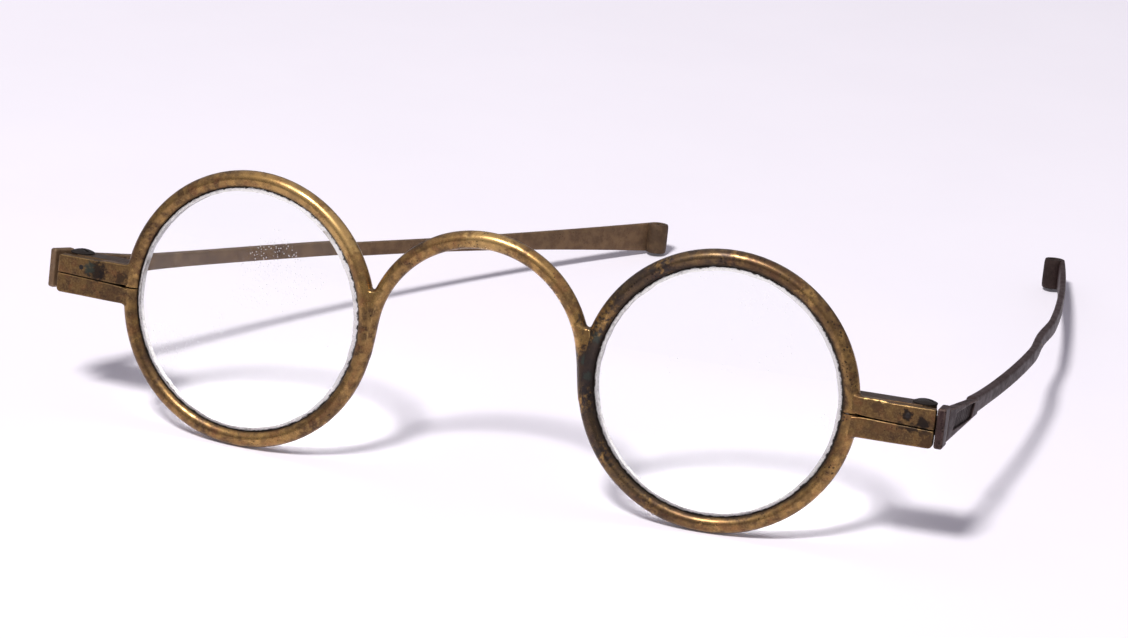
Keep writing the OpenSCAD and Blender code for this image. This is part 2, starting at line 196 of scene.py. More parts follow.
class LensSizes(bpy.types.PropertyGroup):
    radius: length("Radius", "Radius of the glass at its edge", 16.16)
    clear: length("Clear radius", "Radius of the clear face inside the bevel", 15.22)
    edge: length("Edge", "Thickness of the glass at the bevel", 1.5)
    rim_edge: length("Rim edge", "Thickness of the glass at its very edge", 0.1)
    curve: length("Curve", "Radius of both faces", 830.0)
    chips: length("Chips", "Unevenness of the bevel's inner edge", 0.05)


class Finishes(bpy.types.PropertyGroup):
    brass: tint("Brass", "Brown patina of the rims", 164, 128, 76)
    # Worn brass is also painted as a highlight along the top edge of the right upper end plate
    worn_brass: tint("Worn brass", "Bare brass where it is rubbed", 204, 168, 108)
    tarnish: tint("Tarnish", "Dark brown tarnish", 72, 52, 37)
    soot: tint("Soot", "Charcoal tarnish of the right rim", 46, 42, 43)
    copper: tint("Copper bloom", "Reddish patches in the patina", 124, 80, 50)
    plate: tint("End plates", "Brown brass of the end pieces", 112, 85, 50)
    joint: tint("Joints", "Unpolished brass behind the plates", 56, 43, 35)
    temple_left: tint("Left temple", "Brown patina of the left temple", 118, 93, 68)
    temple_right: tint("Right temple", "Mauve-brown patina of the right temple", 60, 44, 44)
    pale_left: tint("Left, rubbed", "Rubbed patina of the left temple", 132, 112, 92)
    pale_right: tint("Right, rubbed", "Rubbed patina of the right temple", 108, 90, 82)
    dark_left: tint("Left, dark", "Darker clouds on the left temple", 88, 68, 52)
    dark_right: tint("Right, dark", "Darker clouds on the right temple", 46, 33, 33)
    # The grime colour is also painted as shade along the rims' inner lips and on the rolled eyes
    grime: tint("Grime", "Dirt in grooves and corners", 34, 27, 24)
    verdigris: tint("Verdigris", "Green copper salt in the notches", 62, 76, 68)
    steel: tint("Steel", "Dark screws and rivets", 46, 41, 40)
    glass: tint("Glass", "Clear old glass", 254, 255, 254)
    ground_glass: tint("Ground edge", "Matt bevel of the glass", 205, 202, 202)
    floor: tint("Table", "Near-white table top", 249, 244, 253)


GROUPS = {"front": FrontSizes, "ends": EndSizes, "hinges": HingeSizes, "temples": TempleSizes,
          "lenses": LensSizes, "finishes": Finishes}

# Linear colours of small things
WORN_STEEL = (0.09, 0.08, 0.075)
DUST = (0.93, 0.92, 0.92)
CHIPPED = (0.42, 0.40, 0.39)
# Grime and painted shade where the lens bevel meets the rim
BEVEL_DIRT_AND_SHADE = (0.022, 0.016, 0.013)


def sizes(context):
    """All the sizes as plain numbers: lengths in millimetres, angles in radians."""
    found = SimpleNamespace()
    for key in GROUPS:
        group = getattr(context.scene, "spectacle_" + key)
        values = {}
        for prop in group.bl_rna.properties:
            if prop.type == "FLOAT" and prop.is_array:
                values[prop.identifier] = tuple(getattr(group, prop.identifier))
            elif prop.type == "FLOAT":
                scale = MM if prop.unit == "LENGTH" else 1.0
                values[prop.identifier] = getattr(group, prop.identifier) * scale
        setattr(found, key, SimpleNamespace(**values))
    return found


def of_side(group, name, side):
    return getattr(group, f"{name}_{SIDES[side]}")


# Frames

def rim_reach(f, lean_part):
    """How far a leaning rim reaches from its centre: back by cos(lean), down by sin(lean)."""
    return f.rim_radius * math.sqrt(1 - (math.cos(f.wrap) * lean_part) ** 2) + f.wire_radius


def front_frame(s):
    """From the front's frame, in millimetres, to the frame of the whole model, in metres."""
    f = s.front
    left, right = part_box("rim_left"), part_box("rim_right")
    middle = (left[0][0] + right[1][0]) / 2 * MM
    back = min(left[0][1], right[0][1]) * MM + rim_reach(f, math.cos(f.lean))
    return (Matrix.Scale(1 / MM, 4)
            @ Matrix.Translation((middle, back, rim_reach(f, math.sin(f.lean))))
            @ Matrix.Rotation(-f.lean, 4, "X"))


def side_frame(s, side):
    mirror = Matrix.Diagonal((side, 1, 1, 1))
    return (front_frame(s) @ Matrix.Translation((side * s.front.lens_distance / 2, 0, 0))
            @ Matrix.Rotation(side * s.front.wrap, 4, "Z") @ mirror)


def hinge_frame(s, side):
    rise = of_side(s.ends, "rise", side)
    return side_frame(s, side) @ Matrix.Translation((s.hinges.reach, s.hinges.depth, rise))


def temple_frame(s, side):
    swing = s.temples.swing_left if side == LEFT else 0.0
    return hinge_frame(s, side) @ Matrix.Rotation(swing, 4, "Z")


# Shapes as distance fields, and their skins

def blend_min(a, b, width):
    share = np.clip(0.5 + 0.5 * (b - a) / width, 0, 1)
    return b * (1 - share) + a * share - width * share * (1 - share)


def blend_max(a, b, width):
    return -blend_min(-a, -b, width)


def smooth(low, high, value):
    share = np.clip((value - low) / (high - low), 0, 1)
    return share * share * (3 - 2 * share)


def ring(x, y, z, radius, wire):
    return np.hypot(np.hypot(x, z) - radius, y) - wire


def rounded_block(x, y, z, low, high, rounding):
    gaps = [np.abs(v - (a + b) / 2) - (b - a) / 2 + rounding
            for v, a, b in zip((x, y, z), low, high)]
    outside = np.sqrt(sum(np.maximum(g, 0) ** 2 for g in gaps))
    return outside + np.minimum(np.maximum.reduce(gaps), 0) - rounding


def rod(x, y, z, start, end, start_radius, end_radius):
    start, end = np.array(start), np.array(end)
    along = end - start
    share = ((x - start[0]) * along[0] + (y - start[1]) * along[1] + (z - start[2]) * along[2])
    share = np.clip(share / along.dot(along), 0, 1)
    gaps = [v - start[i] - share * along[i] for i, v in enumerate((x, y, z))]
    return (np.sqrt(sum(g * g for g in gaps)) - start_radius
            - share * (end_radius - start_radius))


def solder_width(width, from_rim):
    """How widely solder blends, from nearly nothing on the rim's middle line outwards."""
    return width * smooth(0, 0.8, from_rim) + 0.02


def waver(x, y, z, wave, seed):
    """Slow unevenness between -1 and 1, as from hammer and file; wave is its length."""
    random = np.random.default_rng(seed)
    total = 0
    for _ in range(7):
        way = random.normal(size=3)
        way *= 2 * math.pi / wave * random.uniform(0.6, 1.5) / np.linalg.norm(way)
        total = total + np.sin(x * way[0] + y * way[1] + z * way[2] + random.uniform(0, 6.3))
    return total / 4


CORNERS = np.array([[i, j, k] for i in (0, 1) for j in (0, 1) for k in (0, 1)])
CELL_EDGES = [(a, b) for a in range(8) for b in range(a + 1, 8)
              if abs(CORNERS[a] - CORNERS[b]).sum() == 1]


def skin(field, low, high, cell):
    """Points and quads on the surface where field is zero: one point in each cell it crosses."""
    low = np.array(low, float)
    axes = [np.arange(a, b + cell, cell) for a, b in zip(low, high)]
    values = field(*np.meshgrid(*axes, indexing="ij"))
    inside = values < 0
    count = np.array(values.shape) - 1
    every = np.ones(count, bool)
    some = np.zeros(count, bool)
    for i, j, k in CORNERS:
        part = inside[i:i + count[0], j:j + count[1], k:k + count[2]]
        every &= part
        some |= part
    cells = np.argwhere(some & ~every)
    number = np.full(count, -1)
    number[tuple(cells.T)] = np.arange(len(cells))
    at_corner = np.stack([values[tuple((cells + c).T)] for c in CORNERS], 1)
    total, crossings = np.zeros((len(cells), 3)), np.zeros(len(cells))
    for a, b in CELL_EDGES:
        crossed = (at_corner[:, a] < 0) != (at_corner[:, b] < 0)
        step = np.where(crossed, at_corner[:, a] - at_corner[:, b], 1)
        share = np.where(crossed, at_corner[:, a] / step, 0)[:, None]
        total += crossed[:, None] * (CORNERS[a] + share * (CORNERS[b] - CORNERS[a]))
        crossings += crossed
    points = low + (cells + total / crossings[:, None]) * cell
    quads = []
    for axis in range(3):
        others = [(axis + 1) % 3, (axis + 2) % 3]
        first, second = [slice(None)] * 3, [slice(None)] * 3
        first[axis], second[axis] = slice(0, -1), slice(1, None)
        for other in others:
            first[other] = second[other] = slice(1, -1)
        starts = inside[tuple(first)]
        changed = np.argwhere(starts != inside[tuple(second)])
        flip = starts[tuple(changed.T)]
        changed[:, others] += 1
        around = []
        for du, dv in ((-1, -1), (0, -1), (0, 0), (-1, 0)):
            place = changed.copy()
            place[:, others[0]] += du
            place[:, others[1]] += dv
            around.append(number[tuple(place.T)])
        faces = np.stack(around, 1)
        faces[~flip] = faces[~flip][:, ::-1]
        quads.append(faces)
    return settled(points, field, cell), np.concatenate(quads)


def settled(points, field, cell):
    """The points moved onto the surface itself."""
    step = cell / 4
    for _ in range(3):
        slope = np.stack([field(*(points + w).T) - field(*(points - w).T)
                          for w in np.eye(3) * step], 1) / 2 / step
        steep = np.maximum((slope ** 2).sum(1), 0.2)
        points = points - slope * (np.clip(field(*points.T), -cell, cell) / steep)[:, None]
    return points


def bending(points, field, step):
    """How strongly the surface bends there: positive on edges, negative in corners."""
    around = sum(field(*(points + w).T) + field(*(points - w).T) for w in np.eye(3) * step)
    return (around - 6 * field(*points.T)) / step ** 2


# Making pieces

def mesh_of(name, points, faces):
    mesh = bpy.data.meshes.new(name)
    mesh.from_pydata([tuple(p) for p in points], [], [tuple(f) for f in faces])
    mesh.validate()
    return mesh


def band(rows, around):
    """Quads between rows of points, where each row is a closed ring."""
    return [(row * around + k, row * around + (k + 1) % around,
             (row + 1) * around + (k + 1) % around, (row + 1) * around + k)
            for row in range(rows - 1) for k in range(around)]


def face_outwards(mesh):
    shape = bmesh.new()
    shape.from_mesh(mesh)
    bmesh.ops.recalc_face_normals(shape, faces=shape.faces)
    shape.to_mesh(mesh)
    shape.free()


def mark(mesh, **masks):
    """Stores masks, such as wear, and grime and painted shade, on the points of a mesh."""
    for name, values in masks.items():
        layer = mesh.attributes.new(name, "FLOAT", "POINT")
        layer.data.foreach_set("value", np.clip(values, 0, 1).astype(np.float32))


def places(mesh):
    found = np.empty(len(mesh.vertices) * 3)
    mesh.vertices.foreach_get("co", found)
    return found.reshape(-1, 3)


def finished(mesh, name, matrix, material, body, node, sharp=None):
    """Puts a mesh where it belongs and makes it a piece that stands for a CAD node."""
    mesh.transform(matrix)
    if matrix.determinant() < 0:
        mesh.flip_normals()
    if material is not None:
        mesh.materials.clear()
        mesh.materials.append(material)
    mesh.polygons.foreach_set("use_smooth", [True] * len(mesh.polygons))
    if sharp is not None:
        mesh.set_sharp_from_angle(angle=math.radians(sharp))
    mesh.name = name
    piece = bpy.data.objects.new(name, mesh)
    bpy.context.scene.collection.objects.link(piece)
    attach(piece, body)
    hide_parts(node)
    return piece


def cast(field, low, high, cell, name, matrix, material, body, node, dirt=None):
    """A piece made from a distance field, with its wear and its darker corners read from how it
    bends.

    Further darkening may be given as a function of the place."""
    points, faces = skin(field, low, high, cell)
    bend = bending(points, field, BEND_STEP)
    mesh = mesh_of(name, points, faces)
    more = dirt(*points.T) if dirt else 0.0
    mark(mesh, wear=(bend - WEAR_FROM) / WEAR_OVER - more,
         grime=(-bend - CORNER_DARK_FROM) / CORNER_DARK_OVER + more)
    return finished(mesh, name, matrix, material, body, node)


# Node trees

class Plan:
    """A node tree, with short ways to add its nodes and link them."""

    def __init__(self, tree):
        self.tree = tree
        self.nodes = tree.nodes

    @classmethod
    def group(cls, name, kind, inputs, outputs=("Geometry",)):
        """A node group. Each input has a number to begin with, or else the name of its form."""
        plan = cls(bpy.data.node_groups.new(name, kind))
        form = "Geometry" if kind == "GeometryNodeTree" else "Float"
        sockets = plan.tree.interface
        for socket, value in inputs.items():
            plain = {int: "Int", float: "Float"}.get(type(value))
            made = sockets.new_socket(socket, in_out="INPUT",
                                      socket_type="NodeSocket" + (plain or value))
            if plain:
                made.default_value = value
        for socket in outputs:
            sockets.new_socket(socket, in_out="OUTPUT", socket_type="NodeSocket" + form)
        plan.given = plan.nodes.new("NodeGroupInput").outputs
        plan.result = plan.nodes.new("NodeGroupOutput").inputs
        return plan

    def feed(self, socket, *values):
        """Links each value to a socket, or sets the socket."""
        for value in values:
            if isinstance(value, bpy.types.NodeSocket):
                self.tree.links.new(value, socket)
            else:
                socket.default_value = value

    def add(self, kind, given=None, **settings):
        """A node of that kind, with its settings, and its inputs linked or set."""
        made = self.nodes.new(kind)
        for name, value in settings.items():
            setattr(made, name, value)
        for key, value in (given or {}).items():
            self.feed(made.inputs[key], value)
        return made

    def out(self, kind, given=None, **settings):
        return self.add(kind, given, **settings).outputs[0]

    def maths(self, operation, *values):
        return self.out("ShaderNodeMath", dict(enumerate(values)), operation=operation)

    def vector(self, **values):
        return self.out("ShaderNodeCombineXYZ", values)

    def mix(self, share, first, second):
        """Colours mixed by share; each may be a socket or given outright."""
        made = self.add("ShaderNodeMix", {0: share}, data_type="RGBA")
        for key, value in ((6, first), (7, second)):
            linked = isinstance(value, bpy.types.NodeSocket)
            self.feed(made.inputs[key], value if linked else (*value[:3], 1.0))
        return made.outputs[2]

    def spread(self, value, low, high, out_low=0.0, out_high=1.0):
        return self.out("ShaderNodeMapRange", {
            "Value": value, "From Min": low, "From Max": high, "To Min": out_low,
            "To Max": out_high}, interpolation_type="SMOOTHSTEP")

    def noise(self, vector, scale, detail=4.0, roughness=0.55):
        return self.add("ShaderNodeTexNoise", {
            "Vector": vector, "Scale": scale, "Detail": detail,
            "Roughness": roughness}).outputs["Fac"]

    def cells(self, vector, scale):
        return self.add("ShaderNodeTexVoronoi", {
            "Vector": vector, "Scale": scale}).outputs["Distance"]

    def attribute(self, name):
        return self.add("ShaderNodeAttribute", attribute_name=name,
                        attribute_type="GEOMETRY").outputs["Fac"]

    def ray(self, kind):
        return self.add("ShaderNodeLightPath").outputs[f"Is {kind} Ray"]

    def end(self, geometry):
        """Ends a geometry tree as the export needs it."""
        real = self.out("GeometryNodeRealizeInstances", {"Geometry": geometry})
        painted = self.out("GeometryNodeSetMaterial",
                           {"Geometry": real, "Material": self.given["Material"]})
        self.feed(self.result["Geometry"], painted)
        return self.tree


def grown(tree, **values):
    """The mesh that a geometry tree makes from these values; names use _ for spaces."""
    holder = bpy.data.objects.new("holder", bpy.data.meshes.new("holder"))
    bpy.context.scene.collection.objects.link(holder)
    modifier = holder.modifiers.new("shape", "NODES")
    modifier.node_group = tree
    for item in tree.interface.items_tree:
        key = item.name.replace(" ", "_")
        if item.item_type == "SOCKET" and item.in_out == "INPUT" and key in values:
            modifier[item.identifier] = values[key]
    evaluated = holder.evaluated_get(bpy.context.evaluated_depsgraph_get())
    mesh = bpy.data.meshes.new_from_object(evaluated)
    holder.modifiers.clear()
    bpy.data.objects.remove(holder)
    return mesh


def rim_tree():
    """A wire bent to a split ring, with a groove for the glass along its inner side."""
    plan = Plan.group("Split rim", "GeometryNodeTree", {
        "Middle Radius": 16.75, "Wire Radius": 1.1, "Groove Depth": 0.55, "Groove Width": 0.5,
        "Slit": 0.2, "Unevenness": 0.015, "Seed": 1.0, "Steps": 320, "Material": "Material"})
    given, maths = plan.given, plan.maths
    half = maths("DIVIDE", given["Slit"], maths("MULTIPLY", given["Middle Radius"], 2.0))
    arc = plan.out("GeometryNodeCurveArc", {
        "Resolution": given["Steps"], "Radius": given["Middle Radius"], "Start Angle": half,
        "Sweep Angle": maths("SUBTRACT", 2 * math.pi, maths("MULTIPLY", half, 2.0))},
        mode="RADIUS")
    upright = plan.out("GeometryNodeSetCurveNormal", {"Curve": arc}, mode="Z_UP")
    where = plan.out("GeometryNodeInputPosition")
    noise = plan.add("ShaderNodeTexNoise", {
        "Vector": where, "W": given["Seed"], "Scale": 0.16, "Detail": 1.0},
        noise_dimensions="4D").outputs["Fac"]
    change = maths("MULTIPLY", maths("SUBTRACT", noise, 0.5),
                   maths("MULTIPLY", given["Unevenness"], 4.0))
    path = plan.out("GeometryNodeSetCurveRadius", {
        "Curve": upright, "Radius": maths("ADD", change, 1.0)})
    wire = plan.out("GeometryNodeCurvePrimitiveCircle", {
        "Resolution": 48, "Radius": given["Wire Radius"]}, mode="RADIUS")
    split = plan.add("ShaderNodeSeparateXYZ", {"Vector": where}).outputs
    across = maths("DIVIDE", maths("ABSOLUTE", split["Y"]), given["Wire Radius"])
    groove = maths("SUBTRACT", 1.0, maths("DIVIDE", across, given["Groove Width"]))
    groove = maths("MULTIPLY", maths("MAXIMUM", groove, 0.0), given["Groove Depth"])
    push = maths("MULTIPLY", groove, maths("LESS_THAN", split["X"], 0.0))
    section = plan.out("GeometryNodeSetPosition", {
        "Geometry": wire, "Offset": plan.vector(X=push)})
    return plan.end(plan.out("GeometryNodeCurveToMesh", {
        "Curve": path, "Profile Curve": section, "Fill Caps": True}))


def screw_tree():
    """A slotted screw with a domed head; its shank hangs down from the origin."""
    plan = Plan.group("Slotted screw", "GeometryNodeTree", {
        "Head Radius": 1.55, "Head Height": 0.55, "Shank Radius": 0.6, "Shank Length": 5.0,
        "Slot Width": 0.35, "Slot Turn": 0.5, "Dome": 3.2, "Material": "Material"})
    given, maths = plan.given, plan.maths
    height = given["Head Height"]

    def moved(geometry, up, **more):
        return plan.out("GeometryNodeTransform", {
            "Geometry": geometry, "Translation": plan.vector(Z=up), **more})

    def boolean(operation, *parts, base=None):
        made = plan.add("GeometryNodeMeshBoolean", operation=operation, solver="EXACT")
        if base is not None:
            plan.feed(made.inputs["Mesh 1"], base)
        plan.feed(made.inputs["Mesh 2"], *parts)
        return made.outputs[0]

    disc = plan.out("GeometryNodeMeshCylinder", {
        "Vertices": 64, "Radius": given["Head Radius"], "Depth": height})
    dome = plan.out("GeometryNodeMeshUVSphere", {
        "Segments": 96, "Rings": 96, "Radius": given["Dome"]})
    head = boolean("INTERSECT", moved(disc, maths("DIVIDE", height, 2.0)),
                   moved(dome, maths("SUBTRACT", height, given["Dome"])))
    slot = plan.out("GeometryNodeMeshCube", {"Size": plan.vector(
        X=maths("MULTIPLY", given["Head Radius"], 4.0), Y=given["Slot Width"], Z=height)})
    slot = moved(slot, height, Rotation=plan.vector(Z=given["Slot Turn"]))
    shank = plan.out("GeometryNodeMeshCylinder", {
        "Vertices": 48, "Radius": given["Shank Radius"], "Depth": given["Shank Length"]})
    shank = moved(shank, maths("MULTIPLY", given["Shank Length"], -0.5))
    both = plan.add("GeometryNodeJoinGeometry")
    plan.feed(both.inputs[0], boolean("DIFFERENCE", slot, base=head), shank)
    return plan.end(both.outputs[0])


def rivet_tree():
    """A rivet with a low, worn head; its shank runs back from the origin along Y."""
    plan = Plan.group("Worn rivet", "GeometryNodeTree", {
        "Radius": 0.33, "Proud": 0.05, "Length": 1.7, "Material": "Material"})
    given, maths = plan.given, plan.maths
    ball = plan.out("GeometryNodeMeshUVSphere", {
        "Segments": 32, "Rings": 24, "Radius": given["Radius"]})
    squash = plan.vector(X=1.0, Y=maths("DIVIDE", given["Proud"], given["Radius"]), Z=1.0)
    head = plan.out("GeometryNodeTransform", {"Geometry": ball, "Scale": squash})
    shank = plan.out("GeometryNodeMeshCylinder", {
        "Vertices": 32, "Radius": given["Radius"], "Depth": given["Length"]})
    shank = plan.out("GeometryNodeTransform", {
        "Geometry": shank, "Rotation": (math.pi / 2, 0, 0),
        "Translation": plan.vector(Y=maths("MULTIPLY", given["Length"], 0.5))})
    both = plan.add("GeometryNodeJoinGeometry")
    plan.feed(both.inputs[0], head, shank)
    return plan.end(both.outputs[0])


# Finishes

def patina_group():
    """Clouds, reddish bloom, fine grain and pits of old metal, from the place in metres."""
    outputs = ("Clouds", "Bloom", "Grain", "Pits", "Height")
    plan = Plan.group("Patina", "ShaderNodeTree", {"Vector": "Vector", "Pitting": 0.5}, outputs)
    where, maths = plan.given["Vector"], plan.maths
    wide = plan.spread(plan.noise(where, 170.0, 4.0, 0.6), 0.35, 0.65)
    close = plan.spread(plan.noise(where, 820.0), 0.38, 0.62)
    clouds = maths("ADD", maths("MULTIPLY", wide, 0.45), maths("MULTIPLY", close, 0.55))
    shifted = plan.out("ShaderNodeVectorMath", {0: where, 1: (0.5, 0.3, 0.1)})
    bloom = plan.spread(plan.noise(shifted, 560.0, 4.0, 0.6), 0.50, 0.66)
    grain = plan.noise(where, 4200.0, 4.0, 0.7)
    rare = plan.spread(plan.noise(where, 380.0, 3.0), 0.44, 0.70, 0.0, 0.42)
    limit = maths("MULTIPLY", plan.given["Pitting"], rare)
    pits = plan.spread(maths("SUBTRACT", limit, plan.cells(where, 2100.0)), -0.06, 0.06)
    rough = maths("ADD", maths("MULTIPLY", grain, 0.15), maths("MULTIPLY", close, 0.3))
    height = maths("SUBTRACT", rough, pits)
    for name, value in zip(outputs, (clouds, bloom, grain, pits, height)):
        plan.feed(plan.result[name], value)
    return plan.tree


def wear_group():
    """Bright rubbed edges, and darker corners and grooves, from the marks on the piece's own
    points; along the rims' inner lips and on the rolled eyes the darkening is grime and painted
    shade.
    """
    plan = Plan.group("Wear", "ShaderNodeTree", {"Vector": "Vector", "Rubbed": 0.6, "Dirty": 0.8},
                      ("Rubbed", "Dirty"))
    broken = plan.noise(plan.given["Vector"], 700.0, 4.0, 0.6)
    for name, layer, low, high in (("Rubbed", "wear", 0.38, 0.62), ("Dirty", "grime", 0.2, 0.5)):
        mask = plan.maths("MULTIPLY", plan.attribute(layer),
                          plan.spread(broken, low, high, 0.25, 1.0))
        plan.feed(plan.result[name], plan.maths("MULTIPLY", mask, plan.given[name]))
    return plan.tree


def stain_group():
    """A ragged stain round one place."""
    plan = Plan.group("Stain", "ShaderNodeTree", {
        "Vector": "Vector", "Centre": "Vector", "Radius": 0.001, "Ragged": 2.7}, ("Mask",))
    given, maths = plan.given, plan.maths
    apart = plan.add("ShaderNodeVectorMath", {0: given["Vector"], 1: given["Centre"]},
                     operation="DISTANCE").outputs["Value"]
    uneven = maths("SUBTRACT", plan.noise(given["Vector"], 1700.0, 4.0, 0.6), 0.5)
    share = maths("ADD", maths("DIVIDE", apart, given["Radius"]),
                  maths("MULTIPLY", uneven, given["Ragged"]))
    plan.feed(plan.result["Mask"], plan.spread(share, 1.15, 0.6))
    return plan.tree


SHARED = {"Patina": patina_group, "Wear": wear_group, "Stain": stain_group}


def shared(name):
    return bpy.data.node_groups.get(name) or SHARED[name]()


def new_material(name):
    """A material, the plan of its tree, its shader's inputs, its output and the place."""
    material = bpy.data.materials.new(name)
    material.use_nodes = True
    material.node_tree.nodes.clear()
    plan = Plan(material.node_tree)
    surface = plan.add("ShaderNodeOutputMaterial").inputs["Surface"]
    shader = plan.add("ShaderNodeBsdfPrincipled")
    plan.feed(surface, shader.outputs[0])
    where = plan.add("ShaderNodeTexCoord").outputs["Object"]
    return material, plan, shader, surface, where


def old_metal(c, name, colour, pale, dark, bloom, pitting, *, rubbed=0.6, metallic=0.8,
              shine=0.5, roughness=(0.23, 0.38), stains=()):
    """Old metal: clouded patina, pits, rubbed edges, darker corners and grooves (grime, and
    painted shade on the rims' inner lips and the rolled eyes) and single stains.

    c holds the finishes. A stain is (place in metres, radius in metres, colour, strength)."""
    material, plan, shader, _, where = new_material(name)
    maths = plan.maths
    patina = plan.add("ShaderNodeGroup", {"Vector": where, "Pitting": pitting},
                      node_tree=shared("Patina")).outputs
    wear = plan.add("ShaderNodeGroup", {"Vector": where, "Rubbed": rubbed},
                    node_tree=shared("Wear")).outputs
    body = plan.mix(patina["Clouds"], dark, colour)
    body = plan.mix(maths("MULTIPLY", patina["Bloom"], 0.45), body, bloom)
    body = plan.mix(plan.spread(patina["Grain"], 0.4, 0.75, 0.0, 0.22), body, pale)
    body = plan.mix(wear["Rubbed"], body, pale)
    for place, radius, shade, strength in stains:
        spot = plan.out("ShaderNodeGroup", {"Vector": where, "Centre": place, "Radius": radius},
                        node_tree=shared("Stain"))
        body = plan.mix(maths("MULTIPLY", spot, strength), body, shade)
    # Darker corners and grooves in the grime colour; along the rims' inner lips and on the rolled
    # eyes this is painted shade as well as grime
    body = plan.mix(wear["Dirty"], body, c.grime)
    body = plan.mix(maths("MULTIPLY", patina["Pits"], 0.8), body, c.grime)
    smoothest, roughest = roughness
    rough = maths("MULTIPLY_ADD", patina["Clouds"], smoothest - roughest, roughest)
    rough = maths("ADD", rough, maths("MULTIPLY", wear["Dirty"], 0.25))
    relief = plan.out("ShaderNodeBump", {
        "Strength": 0.09, "Distance": 0.00006, "Height": patina["Height"]})
    for key, value in (("Base Color", body), ("Roughness", rough), ("Metallic", metallic),
                       ("Specular IOR Level", shine), ("Normal", relief)):
        plan.feed(shader.inputs[key], value)
    return material


def clear_glass(name, colour):
    """Clear old glass with specks of dust, that lets the lamps through."""
    material, plan, shader, surface, where = new_material(name)
    rare = plan.spread(plan.noise(where, 110.0, 2.0), 0.53, 0.66)
    dust = plan.maths("MULTIPLY", plan.spread(plan.cells(where, 2600.0), 0.24, 0.14), rare)
    for key, value in (("Base Color", plan.mix(dust, colour, DUST)),
                       ("Roughness", plan.maths("MULTIPLY", dust, 0.45)), ("Metallic", 0.0),
                       ("Transmission Weight", 1.0), ("IOR", 1.35)):
        plan.feed(shader.inputs[key], value)
    choice = plan.out("ShaderNodeMixShader", {
        0: plan.ray("Shadow"), 1: shader.outputs[0], 2: plan.out("ShaderNodeBsdfTransparent")})
    plan.feed(surface, choice)
    return material


def ground_glass(name, colour):
    """The matt, chipped bevel of a lens, darker where it meets the rim: grime, and painted shade
    of the rim's groove.
    """
    material, plan, shader, _, where = new_material(name)
    chips = plan.noise(where, 1500.0, 4.0, 0.7)
    outwards = plan.attribute("grime")
    # A dark ring where the glass meets the rim: grime and painted shade in the groove
    dirt = plan.spread(plan.maths("ADD", outwards, plan.maths("MULTIPLY", chips, 0.8)), 0.74, 0.9)
    pale = plan.mix(plan.spread(chips, 0.3, 0.5), CHIPPED, colour)
    cover = plan.spread(chips, 0.3, 0.65, 0.55, 0.95)
    relief = plan.out("ShaderNodeBump", {"Strength": 0.5, "Distance": 0.00008, "Height": chips})
    for key, value in (("Base Color", plan.mix(dirt, pale, BEVEL_DIRT_AND_SHADE)),
                       ("Alpha", plan.maths("MAXIMUM", cover, dirt)),
                       ("Roughness", plan.spread(chips, 0.3, 0.7, 0.35, 0.7)),
                       ("Metallic", 0.0), ("Normal", relief)):
        plan.feed(shader.inputs[key], value)
    return material


# Pieces

def stains_on(s, side, *spots):
    """Stains on one side of the front. A spot is x outwards and z up from the lens centre, its
    radius, all in millimetres, its colour and its strength."""
    place = side_frame(s, side)
    return [(tuple(place @ Vector((x, -1.0, z))), radius / MM, shade, strength)
            for x, z, radius, shade, strength in spots]


class SPECTACLES_OT_rims(bpy.types.Operator):
    """Bends a grooved wire round each lens"""
    bl_idname = "spectacles.rims"
    bl_label = "Rims"

    def execute(self, context):
        s = sizes(context)
        f, c = s.front, s.finishes
        tree = rim_tree()
        stains = {
            LEFT: stains_on(
                s, LEFT, (-11.5, 12, 3.5, c.worn_brass, 0.45), (-5, 16, 3, c.worn_brass, 0.3),
                (14, -9, 4, c.tarnish, 0.5), (16.7, 4, 2.5, c.tarnish, 0.5),
                (-13, -10.5, 3, c.tarnish, 0.4)),
            RIGHT: stains_on(
                s, RIGHT, (-12, 12, 5, c.soot, 0.75), (-16.4, 1, 5.5, c.soot, 0.9),
                (-15.4, -7, 5, c.soot, 0.8), (-4.5, 16.5, 5.5, c.soot, 0.6),
                (-11, -13, 5, c.soot, 0.6), (5, 16, 5, c.tarnish, 0.7),
                (-3, -16.5, 4, c.tarnish, 0.5), (12.5, 11, 3, c.tarnish, 0.4),
                (-15.8, 4.5, 0.7, c.verdigris, 0.5), (-16.4, -0.5, 0.6, c.verdigris, 0.4))}
        pitting = {LEFT: 0.5, RIGHT: 0.8}
        # Each rim darkens towards its inner lip: grime in the groove, and painted shade of the
        # groove
        grimy_shaded_lip = {LEFT: (0.6, 0.95), RIGHT: (0.35, 0.85)}
        for side, word in SIDES.items():
            finish = old_metal(c, f"rim_metal_{word}", c.brass, c.worn_brass, c.tarnish,
                               c.copper, pitting[side], stains=stains[side])
            mesh = grown(tree, Middle_Radius=f.rim_radius, Wire_Radius=f.wire_radius,
                         Groove_Depth=f.groove_depth, Slit=f.rim_slit, Seed=2.0 + side,
                         Material=finish)
            mesh.transform(Matrix.Rotation(math.pi / 2, 4, "X"))
            x, _, z = places(mesh).T
            inward = (f.rim_radius - np.hypot(x, z)) / f.wire_radius
            mark(mesh, wear=np.zeros(len(x)), grime=smooth(*grimy_shaded_lip[side], inward))
            finished(mesh, f"rim_{word}_wire", side_frame(s, side), finish, "front",
                     f"rim_{word}", sharp=40)
        return {"FINISHED"}


